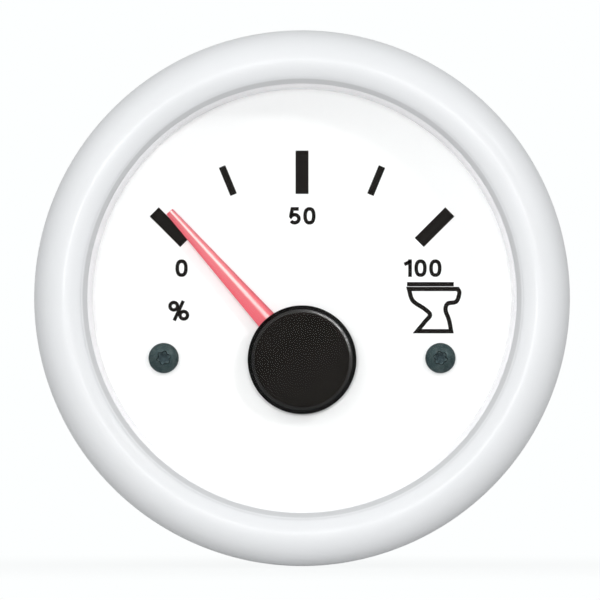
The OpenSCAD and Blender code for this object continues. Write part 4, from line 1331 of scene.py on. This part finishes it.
@dataclass
class Dial(Assembly):
    """Dial plate, scale, numbers, tank symbol and the two screws."""

    ink: float = 0.02
    number_h: float = 2.03
    percent_h: float = 2.3
    low_label: Spot = (-13.97, 2.47)
    mid_label: Spot = (0.0, 8.54)
    high_label: Spot = (14.02, 2.47)
    percent_sign: Spot = (-14.3, -2.6)
    symbol_spot: Spot = (15.3, -4.03)
    symbol_pen: float = 0.5
    screw_x: float = 16.05
    screw_rise: float = 0.19
    screw_head_r: float = 1.75
    screw_head_h: float = 1.25
    screw_dome_h: float = 0.625
    screw_shank_r: float = 1.0
    screw_l: float = 9.0
    screw_pitch: float = 0.4
    recess_r: float = 0.85
    recess_floor: float = 0.525

    def label(self, skin: Skin, text: str, spot: Spot, h: float) -> None:
        """Adds figures in a row.

        Args:
            skin: The skin of the print.
            text: The figures.
            spot: The middle of the row's lower edge.
            h: The height.
        """
        row = [Figure(sign, 0.0, spot[1], h) for sign in text]
        gap = row[0].scaled(row[0].full_gap)
        left = spot[0] - (sum(figure.width() for figure in row) + gap * (len(row) - 1)) / 2
        for sign in text:
            figure = Figure(sign, left, spot[1], h)
            for path, closed in figure.strokes():
                ribbon(skin, path, figure.pen(), Z_DIAL, Z_DIAL + self.ink, closed)
            left += figure.width() + gap

    def symbol(self, skin: Skin) -> None:
        """Adds a plain outline of a bowl on a foot, with its lid as a line above it.

        Args:
            skin: The skin of the print.
        """
        left_side = [(-2.9, 5.1), (-2.45, 3.75), (-1.1, 2.8), (-0.45, 2.1), (-1.0, 1.35),
                     (-1.95, 0.2)]
        right_side = [(2.0, 0.2), (1.75, 1.5), (1.35, 2.65), (1.6, 3.4), (2.6, 3.65),
                      (2.95, 4.65), (2.75, 5.1)]
        lid = np.array([[-3.12, 5.65], [2.3, 5.65]])
        bowl = np.concatenate([spline(left_side), spline(right_side)])
        for path, closed in ((bowl, True), (lid, False)):
            ribbon(skin, path + self.symbol_spot, self.symbol_pen, Z_DIAL, Z_DIAL + self.ink,
                   closed)

    def screw(self, skin: Skin, side: int) -> None:
        """Adds a screw whose domed head has a six-lobed recess.

        The head is a grid of angle by distance. From the middle to the lobes' outline it lies
        on the recess's floor, and beyond it on the dome, a circle's arc over the rim.

        Args:
            skin: The skin that takes the surface.
            side: -1 for the left screw, 1 for the right.
        """
        cols, lobes, mean, swing, lean = 144, 6, 0.88, 0.12, 0.3
        fine, soft, deep, rim_in, rim_up, rim_edge, foot_edge = (
            0.03, 0.06, 0.08, 0.12, 0.07, 0.1, 0.05)
        spot = (side * self.screw_x, self.screw_rise + HUB_Y)
        a = np.arange(cols) * TURN / cols
        lobe = self.recess_r * (mean + swing * np.cos(lobes * (a + side * lean)))
        top, floor = Z_DIAL + self.screw_head_h, Z_DIAL + self.recess_floor
        big = (self.screw_head_r ** 2 + self.screw_dome_h ** 2) / (2 * self.screw_dome_h)

        def height(r: Array) -> Array:
            """The dome's height: a circle of radius big whose top is the head's."""
            return top - big + np.sqrt(big ** 2 - r ** 2)

        lip, brim = lobe + fine, top - self.screw_dome_h
        over = [lip + (self.screw_head_r - deep - lip) * share
                for share in (0.2, 0.4, 0.6, 0.8, 0.94)]
        rim = filleted([(self.screw_head_r - rim_in, brim + rim_up, 0),
                        (self.screw_head_r, brim - fine, rim_edge),
                        (self.screw_head_r, Z_DIAL, foot_edge),
                        (self.screw_shank_r, Z_DIAL, 0)], closed=False)
        rows = [(0.0, floor - deep), (lobe * 0.5, floor - fine), (lobe * 0.9, floor),
                (lobe * 0.94, floor + soft), (lobe * 0.985, height(lobe) - soft),
                (lip, height(lip)), *((r, height(r)) for r in over), *rim]
        r, z = (np.stack([np.broadcast_to(row[k], a.shape) for row in rows]) for k in (0, 1))
        skin.add_round(r, z, a, spot, loop_cols=True)
        threaded(skin, spot, self.screw_shank_r * 2, self.screw_pitch, Z_DIAL - self.screw_l,
                 Z_DIAL + 0.02, bevel=0.4, cols=24)

    def build(self) -> None:
        """Prints the dial and sets the screws."""
        self.dress(Finish.DIAL_WHITE, "dial")
        self.dress(Finish.DIAL_INK, "scale_marks")
        numbers = Skin("dial_numbers")
        self.label(numbers, "0", self.low_label, self.number_h)
        self.label(numbers, "50", self.mid_label, self.number_h)
        self.label(numbers, "100", self.high_label, self.number_h)
        self.label(numbers, "%", self.percent_sign, self.percent_h)
        self.keep(numbers.piece(), Finish.DIAL_INK, "case")
        symbol = Skin("dial_symbol")
        self.symbol(symbol)
        self.keep(symbol.piece(), Finish.DIAL_INK, "case")
        screws = Skin("dial_screw_pair")
        for side in (-1, 1):
            self.screw(screws, side)
        self.keep(screws.piece(), Finish.SCREW_BLACK, "case", "dial_screws")
        self.dress(Finish.GUIDE_CLEAR, "light_guide")


@dataclass
class Pointer(Assembly):
    """Tapered translucent blade with its hub, black cap, spindle and magnet."""

    length: float = 23.06
    angle: float = -41.8
    root_w: float = 2.33
    tip_w: float = 0.97
    tip_r: float = 0.12
    ridge: float = 0.9
    z_blade: float = 3.8
    blade_start: float = 3.0
    cap_r: float = 6.3
    cap_top_r: float = 5.62
    cap_wall: float = 0.8
    cap_roof: float = 0.9
    z_cap: float = 3.45
    z_shoulder: float = 5.0
    z_cap_top: float = 5.9
    z_slot: float = 4.94
    slot_w: float = 1.36
    hub_r: float = 4.8
    spindle_r: float = 0.5

    def blade(self, skin: Skin) -> None:
        """Adds the blade: a rounded section carried along the pointer's line.

        The section's width falls evenly from the cap to the tip, and its ridge from 1.15 of
        its height to 1. The last rows draw in by a quarter circle, which rounds the tip.

        Args:
            skin: The skin that takes the surface.
        """
        rows, tip_rows, tip_start, swell, sag, least_w = 40, 5, 0.2, 0.15, 0.6, 0.05
        end = self.length - self.tip_r
        quarter = np.sin(np.linspace(tip_start, math.pi / 2, tip_rows))
        run = np.concatenate([np.linspace(self.blade_start, end, rows),
                              end + self.tip_r * quarter])
        draw = np.maximum(run - end, 0) / self.tip_r
        inset = self.tip_r * (1 - np.sqrt(np.maximum(1 - draw ** 2, 0)))
        section = filleted([(-0.5, 0.0, 0.04), (0.5, 0.0, 0.04), (0.5, 0.5, 0.07),
                            (0.25, 1.0, 0.1), (0.03, 1.0, 0.1), (-0.5, 0.5, 0.06)],
                           closed=True, steps=4)
        taper = (run - self.cap_r) / (self.length - self.cap_r)
        width = self.root_w + (self.tip_w - self.root_w) * taper
        high = self.ridge * (1 + swell * (self.length - run) / self.length)
        across = section[:, 0] * np.maximum(width - 2 * inset, least_w)[:, None]
        up = self.z_blade + inset[:, None] * sag + section[:, 1] * (high - inset)[:, None]
        turn = math.radians(-self.angle)
        ahead = run[:, None] * np.ones_like(across)
        x = math.cos(turn) * across - math.sin(turn) * ahead
        y = HUB_Y + math.sin(turn) * across + math.cos(turn) * ahead
        lathe = np.stack([section[:, 0] * 2 * np.ones_like(ahead), ahead,
                          np.zeros_like(ahead)], axis=-1)
        skin.add_grid(np.stack([x, y, up], axis=-1), lathe, loop_cols=True, caps=True)

    def cap(self, skin: Skin) -> None:
        """Adds the cap, whose wall is cut by the blade's slot.

        The section is turned as usual, but between the slot's two angles the wall's lower
        points rise to the slot's height.

        Args:
            skin: The skin that takes the surface.
        """
        slot_cols, wall_cols, step = 9, 150, 0.004
        shoulder_edge, top_edge, ring_count, first_ring = 0.25, 0.7, 6, 0.94
        half = math.asin(self.slot_w / self.cap_r)
        a = math.radians(90 - self.angle) + np.concatenate([
            np.linspace(-half, half, slot_cols),
            np.linspace(half + step, TURN - half - step, wall_cols)])
        slot = np.concatenate([np.ones(slot_cols), np.zeros(wall_cols)])[None, :]
        outer = filleted([(self.cap_r, self.z_cap, 0),
                          (self.cap_r, self.z_shoulder, shoulder_edge),
                          (self.cap_top_r, self.z_cap_top, top_edge), (0, self.z_cap_top, 0)],
                         closed=False, steps=8)
        share = np.linspace(first_ring, 0.0, ring_count)[:, None]
        rings = share * [outer[-2, 0], 0] + [0, self.z_cap_top]
        inside, roof = self.cap_r - self.cap_wall, self.z_cap_top - self.cap_roof
        inner = np.array([(0, roof), (inside, roof), (inside, self.z_cap)])
        profile = np.concatenate([outer[:-1], rings, inner])
        z = np.maximum(profile[:, 1:], slot * self.z_slot)
        skin.add_round(profile[:, :1], z, a, (0.0, HUB_Y), loop_rows=True, loop_cols=True)

    def build(self) -> None:
        """Makes the blade and the cap, and dresses the spindle and its magnet."""
        pointer = Skin("pointer_blade")
        self.blade(pointer)
        turned(pointer, ring_profile(self.spindle_r, self.hub_r, self.z_blade,
                                     self.z_blade + self.ridge, edge=0.1), (0.0, HUB_Y))
        self.keep(pointer.piece(sharp=40), Finish.POINTER_RED, "pointer_set", "pointer")
        cap = Skin("pointer_cap_disc")
        self.cap(cap)
        self.keep(cap.piece(), Finish.CAP_BLACK, "pointer_set", "pointer_cap")
        self.dress(Finish.STEEL_BRIGHT, "spindle")
        self.dress(Finish.MAGNET_GREY, "rotor_magnet")


@dataclass
class Barrel(Assembly):
    """Black housing and the panel gasket."""

    gasket_in_r: float = 25.9
    gasket_r: float = 30.2
    gasket_t: float = 1.0

    def build(self) -> None:
        """Rounds the housing's edges and turns the gasket."""
        housing = softened("housing", "housing_shell", width=0.14)
        self.keep(housing, Finish.HOUSING_BLACK, "case", "housing")
        gasket = Skin("gasket_ring")
        turned(gasket, ring_profile(self.gasket_in_r, self.gasket_r, 0.0, self.gasket_t,
                                    edge=0.2), steps=160)
        self.keep(gasket.piece(), Finish.SEAL_RUBBER, "case", "panel_gasket")


@dataclass
class Movement(Assembly):
    """Air-core movement and the electronics, inside the housing."""

    def build(self) -> None:
        """Dresses what stands on the board."""
        self.dress(Finish.BOBBIN_AMBER, "bobbin_front", "bobbin_rear")
        self.dress(Finish.WINDING_COPPER, "inner_coil", "outer_coil")
        self.dress(Finish.TINNED_BRASS, "movement_pins")
        self.dress(Finish.MAGNET_GREY, "return_magnet")
        self.dress(Finish.STEEL_BRIGHT, "shield_can")
        self.dress(Finish.BOARD_GREEN, "circuit_board")
        self.dress(Finish.CHIP_BLACK, "driver_chip", "resistors", "protection_diode")
        self.dress(Finish.CAN_ALUMINIUM, "capacitors")
        self.dress(Finish.LAMP_YELLOW, "backlight_leds")
        self.dress(Finish.ZINC_PLATE, "board_screws")


@dataclass
class Rear(Assembly):
    """Terminals, lamp blade and the two clamp studs with their nuts.

    The nuts stand at odd angles, as a hand leaves them: next_turn more on each next terminal,
    outer_turn more on each outer nut, and stud_turn either way on the studs.
    """

    z_inside: float = -36.0
    z_pad: float = -38.6
    z_board: float = -27.0
    washer_t: float = 0.8
    washer_r: float = 4.5
    washer_play: float = 0.2
    nut_h: float = 3.2
    nut_play: float = 0.05
    flats: float = 7.0
    pitch: float = 0.7
    collar_bore: float = 0.2
    stud_collar_h: float = 2.5
    pin_r: float = 1.2
    pin_l: float = 2.4
    next_turn: float = 11.0
    outer_turn: float = 23.0
    stud_turn: float = 17.0
    lap: float = 0.01
    z_terminal_end: float = -51.0
    z_stud_end: float = -68.0
    terminals: tuple[Spot, ...] = ((-12.0, 12.5), (0.0, 14.5), (12.0, 12.5))

    def post(self, skin: Skin, spot: Spot, z_end: float, collar_h: float) -> None:
        """Adds a stud with its hexagonal collar inside the housing.

        Args:
            skin: The skin of the studs.
            spot: The stud's axis.
            z_end: Height of its outer end.
            collar_h: Height of its collar.
        """
        threaded(skin, spot, STUD_D, self.pitch, z_end, self.z_inside + self.lap)
        hexagonal(skin, spot, self.flats, self.collar_bore, self.z_inside, collar_h)

    def nut(self, nuts: Skin, discs: Skin, spot: Spot, place: int, turn: float) -> None:
        """Adds a nut on its washer.

        Args:
            nuts: The skin of the nuts.
            discs: The skin of the washers.
            spot: The stud's axis.
            place: 0 for the nut on the housing, 1 for the one behind it.
            turn: Angle of the nut in degrees.
        """
        z_top = self.z_pad - place * (self.nut_h + self.washer_t)
        z_washer = z_top - self.washer_t
        hexagonal(nuts, spot, self.flats, STUD_D / 2 + self.nut_play, z_washer - self.nut_h,
                  self.nut_h, turn)
        turned(discs, ring_profile(STUD_D / 2 + self.washer_play, self.washer_r, z_washer, z_top,
                                   edge=0.12), spot, steps=64)

    def build(self) -> None:
        """Makes studs with real threads, bevelled nuts and washers."""
        posts, nuts = Skin("terminal_posts"), Skin("terminal_nut_set")
        discs = Skin("terminal_washer_set")
        pin = disc_profile(self.pin_r, self.z_board - self.lap, self.z_board + self.pin_l, 0.2)
        for k, spot in enumerate(self.terminals):
            self.post(posts, spot, self.z_terminal_end, self.z_board - self.z_inside)
            turned(posts, pin, spot, steps=32, closed=False)
            for place in (0, 1):
                self.nut(nuts, discs, spot, place, self.next_turn * k + self.outer_turn * place)
        self.keep(posts.piece(), Finish.BRASS_BARE, "case", "terminal_studs")
        self.keep(nuts.piece(), Finish.BRASS_BARE, "case", "terminal_nuts")
        self.keep(discs.piece(), Finish.ZINC_PLATE, "case", "terminal_washers")
        rods, stud_nuts = Skin("clamp_stud_pair"), Skin("stud_nut_pair")
        stud_discs = Skin("stud_washer_pair")
        for side in (-1, 1):
            spot = (side * STUD_X, 0.0)
            self.post(rods, spot, self.z_stud_end, self.stud_collar_h)
            self.nut(stud_nuts, stud_discs, spot, 0, self.stud_turn * side)
        self.keep(rods.piece(), Finish.ZINC_PLATE, "case", "clamp_studs")
        self.keep(stud_nuts.piece(), Finish.ZINC_PLATE, "case", "stud_nuts")
        self.keep(stud_discs.piece(), Finish.ZINC_PLATE, "case", "stud_washers")
        blade = softened("lamp_terminal", "lamp_blade", width=0.1)
        self.keep(blade, Finish.TINNED_BRASS, "case", "lamp_terminal")


@dataclass
class Clamp(Assembly):
    """Bent strip, spring washers and the two knurled thumb nuts."""

    z_strap_back: float = -51.5
    spring_t: float = 1.0
    spring_in: float = 2.3
    spring_out: float = 3.9
    slit_w: float = 0.7
    slit_at: float = 35.0
    knob_r: float = 5.5
    knob_l: float = 8.0
    knob_bore: float = 2.05
    knob_bevel: float = 0.25
    collar: float = 1.44
    collar_r: float = 4.29
    sink: float = 0.35
    knurls: int = 28
    knurl_h: float = 0.35

    def spring(self, skin: Skin, side: int) -> None:
        """Adds a split ring: a rounded square section carried round most of a turn.

        Args:
            skin: The skin that takes the surface.
            side: -1 for the left stud, 1 for the right.
        """
        section = ring_profile(self.spring_in, self.spring_out,
                               self.z_strap_back - self.spring_t, self.z_strap_back, edge=0.12)
        slit = self.slit_w / (self.spring_in + self.spring_out)
        a = math.radians(self.slit_at) + np.linspace(slit, TURN - slit, 72)[:, None]
        skin.add_round(section[:, 0], section[:, 1], a, (side * STUD_X, 0.0), loop_cols=True,
                       caps=True)

    def thumb_nut(self, name: str, side: int) -> bpy.types.Object:
        """Makes a thumb nut whose knurled band stands between two smooth collars.

        On the band the radius falls by the knurl's depth times a rounded triangle wave of the
        angle. Each row of the profile is (r, z, share of the knurl): all of it on the band,
        a part on the bevels beside it and none elsewhere. The lower half mirrors the upper.

        Args:
            name: Name of the piece.
            side: -1 for the left stud, 1 for the right.

        Returns:
            The piece.
        """
        step, edge, flank, fade = 0.12, 0.2, 0.6, 0.3
        cols_per_knurl, steep, flat = 8, 1.3, 0.15
        z1 = self.z_strap_back - self.spring_t
        middle, high = z1 - self.knob_l / 2, z1 - self.collar
        shoulder, mouth = self.knob_r - self.knob_bevel - step, self.knob_bore + self.sink
        upper = np.array([
            (self.knob_r, high - self.knob_bevel, 1), (shoulder, high, fade),
            (self.knob_r - flank, high, 0), (self.collar_r + step, high, 0),
            (self.collar_r, high + step, 0), (self.collar_r, z1 - edge, 0),
            (self.collar_r - edge, z1, 0), (mouth, z1, 0), (self.knob_bore, z1 - self.sink, 0)])
        lower = upper[::-1] * [1, -1, 1] + [0, 2 * middle, 0]
        profile = np.concatenate([lower[1:], upper, lower[:1]])
        cols = self.knurls * cols_per_knurl
        a = np.arange(cols) * TURN / cols
        wave = np.abs(((a * self.knurls / TURN) % 1) * 2 - 1)
        tooth = np.clip(wave * steep - flat, 0, 1)
        radius = profile[:, :1] - profile[:, 2:] * self.knurl_h * tooth
        skin = Skin(name)
        skin.add_round(radius, profile[:, 1:2], a, (side * STUD_X, 0.0), along(profile[:, :2]),
                       loop_rows=True, loop_cols=True)
        return skin.piece(sharp=38)

    def build(self) -> None:
        """Makes the strip, the washers and the nuts."""
        strip = softened("clamp_bracket", "clamp_strip", width=0.22, segments=3)
        self.keep(strip, Finish.STEEL_BRIGHT, "clamp", "clamp_bracket")
        springs = Skin("spring_washer_pair")
        for side in (-1, 1):
            self.spring(springs, side)
        self.keep(springs.piece(), Finish.ZINC_PLATE, "clamp", "spring_washers")
        for name, side in (("left", -1), ("right", 1)):
            nut = self.thumb_nut(f"knurled_nut_{name}", side)
            self.keep(nut, Finish.BRASS_BARE, f"nut_{name}", f"thumb_nut_{name}")


# The studio.


@dataclass(frozen=True)
class Lamp:
    """A rectangular soft lamp that faces the gauge, in metres and watts.

    Roll turns it about its own axis, in degrees, and only names the one piece that it lights.
    """

    name: str
    place: tuple[float, float, float]
    size: tuple[float, float]
    power: float
    roll: float = 0.0
    only: str = ""

    def build(self) -> None:
        """Makes the lamp."""
        data = bpy.data.lights.new(self.name, "AREA")
        data.shape = "RECTANGLE"
        data.size, data.size_y = self.size
        data.energy = self.power
        light = bpy.data.objects.new(self.name, data)
        light.location = self.place
        aim = (-Vector(self.place)).to_track_quat("-Z", "Y")
        light.rotation_euler = (aim @ Quaternion((0, 0, 1), math.radians(self.roll))).to_euler()
        bpy.context.scene.collection.objects.link(light)
        if self.only:
            lit = bpy.data.collections.new(self.name)
            lit.objects.link(bpy.data.objects[self.only])
            light.light_linking.receiver_collection = lit


@dataclass
class Studio:
    """Camera, soft lights, white surroundings and pale floor."""

    view_mm: float = 69.38
    distance: float = 1.6
    sensor: float = 36.0
    shift_x: float = -0.235
    shift_z: float = -0.21
    face_y: float = -0.008
    floor_z: float = -0.0312
    floor_half: float = 30.0
    floor_tone: Colour = (0.6, 0.6, 0.6)
    floor_near: float = 0.01
    floor_far: float = 0.09
    floor_share: float = 0.93
    white: Colour = (0.985, 1.0, 1.0)
    room_level: float = 0.385
    lamps: tuple[Lamp, ...] = (
        Lamp("front_left", (-0.26, -2.2, 0.12), (0.3, 0.3), 12.3),
        Lamp("front_top", (0.0, -2.2, 0.3), (0.3, 0.3), 6.0),
        Lamp("front_right", (0.26, -2.2, 0.16), (0.3, 0.3), 6.5),
        Lamp("key_upper_left", (-0.55, -0.9, 0.75), (0.9, 0.9), 3.4),
        Lamp("rim_upper_right", (0.62, -0.8, 0.48), (0.18, 0.18), 2.0),
        Lamp("cap_upper_right", (0.773, -0.355, 0.773), (1.3, 0.65), 96.0, roll=-73.0,
             only="pointer_cap_disc"))

    def camera(self) -> None:
        """A long lens straight in front; it spans the photograph's width at the bezel."""
        data = bpy.data.cameras.new("camera")
        data.sensor_width = self.sensor
        data.lens = self.sensor * self.distance / (self.view_mm * MM)
        data.clip_start, data.clip_end = 0.05, 50.0
        eye = bpy.data.objects.new("camera", data)
        eye.location = (self.shift_x * MM, self.face_y - self.distance, self.shift_z * MM)
        eye.rotation_euler = (math.radians(90), 0, 0)
        bpy.context.scene.collection.objects.link(eye)
        bpy.context.scene.camera = eye

    def seen_white(self, paint: Paint) -> Wire:
        """1 for rays that show the surroundings: from the camera, in gloss or through glass.

        Args:
            paint: The builder of the material or the world.

        Returns:
            1 for such rays and 0 for all others.
        """
        path = paint.node("ShaderNodeLightPath", {}, {})
        rays = [Wire(paint, path.outputs[name]) for name in
                ("Is Camera Ray", "Is Glossy Ray", "Is Transmission Ray")]
        return (rays[0] + rays[1] + rays[2]).between(0.0, 1.0)

    def world(self) -> None:
        """White surroundings that light the gauge at a plain level."""
        world = bpy.data.worlds.new("white_room")
        bpy.context.scene.world = world
        paint = Paint(world)
        level = self.room_level + self.seen_white(paint) * (1 - self.room_level)
        back = paint.node("ShaderNodeBackground", {}, {"Color": self.white, "Strength": level})
        paint.node("ShaderNodeOutputWorld", {}, {"Surface": back.outputs[0]})

    def floor(self) -> None:
        """A wide pale floor that keeps the gauge's soft shadow, most of it close by."""
        half, z = self.floor_half, self.floor_z
        mesh = bpy.data.meshes.new("floor")
        mesh.from_pydata([(-half, -half, z), (half, -half, z), (half, half, z),
                          (-half, half, z)], [], [(0, 1, 2, 3)])
        floor = bpy.data.objects.new("floor", mesh)
        bpy.context.scene.collection.objects.link(floor)
        paint = Paint.named("floor_pale")
        matt = paint.node("ShaderNodeBsdfDiffuse", {}, {"Color": self.floor_tone})
        glow = paint.node("ShaderNodeEmission", {}, {"Color": self.white, "Strength": 1.0})
        x, y, _ = paint.parts(paint.place())
        away = (x ** 2.0 + y ** 2.0) ** 0.5
        share = self.floor_share + away.between(self.floor_near, self.floor_far) * (
            1 - self.floor_share)
        mesh.materials.append(paint.mixed(self.seen_white(paint) * share, matt, glow))

    def build(self) -> None:
        """Sets up the whole studio."""
        self.camera()
        self.world()
        self.floor()
        for lamp in self.lamps:
            lamp.build()
        bpy.context.scene.view_settings.view_transform = "Standard"


def main() -> None:
    """Builds every assembly and the studio, and reports each piece."""
    logging.basicConfig(level=logging.INFO, format="%(name)s %(message)s")
    for assembly in (Front(), Dial(), Pointer(), Barrel(), Movement(), Rear(), Clamp()):
        assembly.build()
        LOG.info("%s: %d pieces", type(assembly).__name__, len(assembly.made))
    Studio().build()


if __name__ == "__main__":
    main()
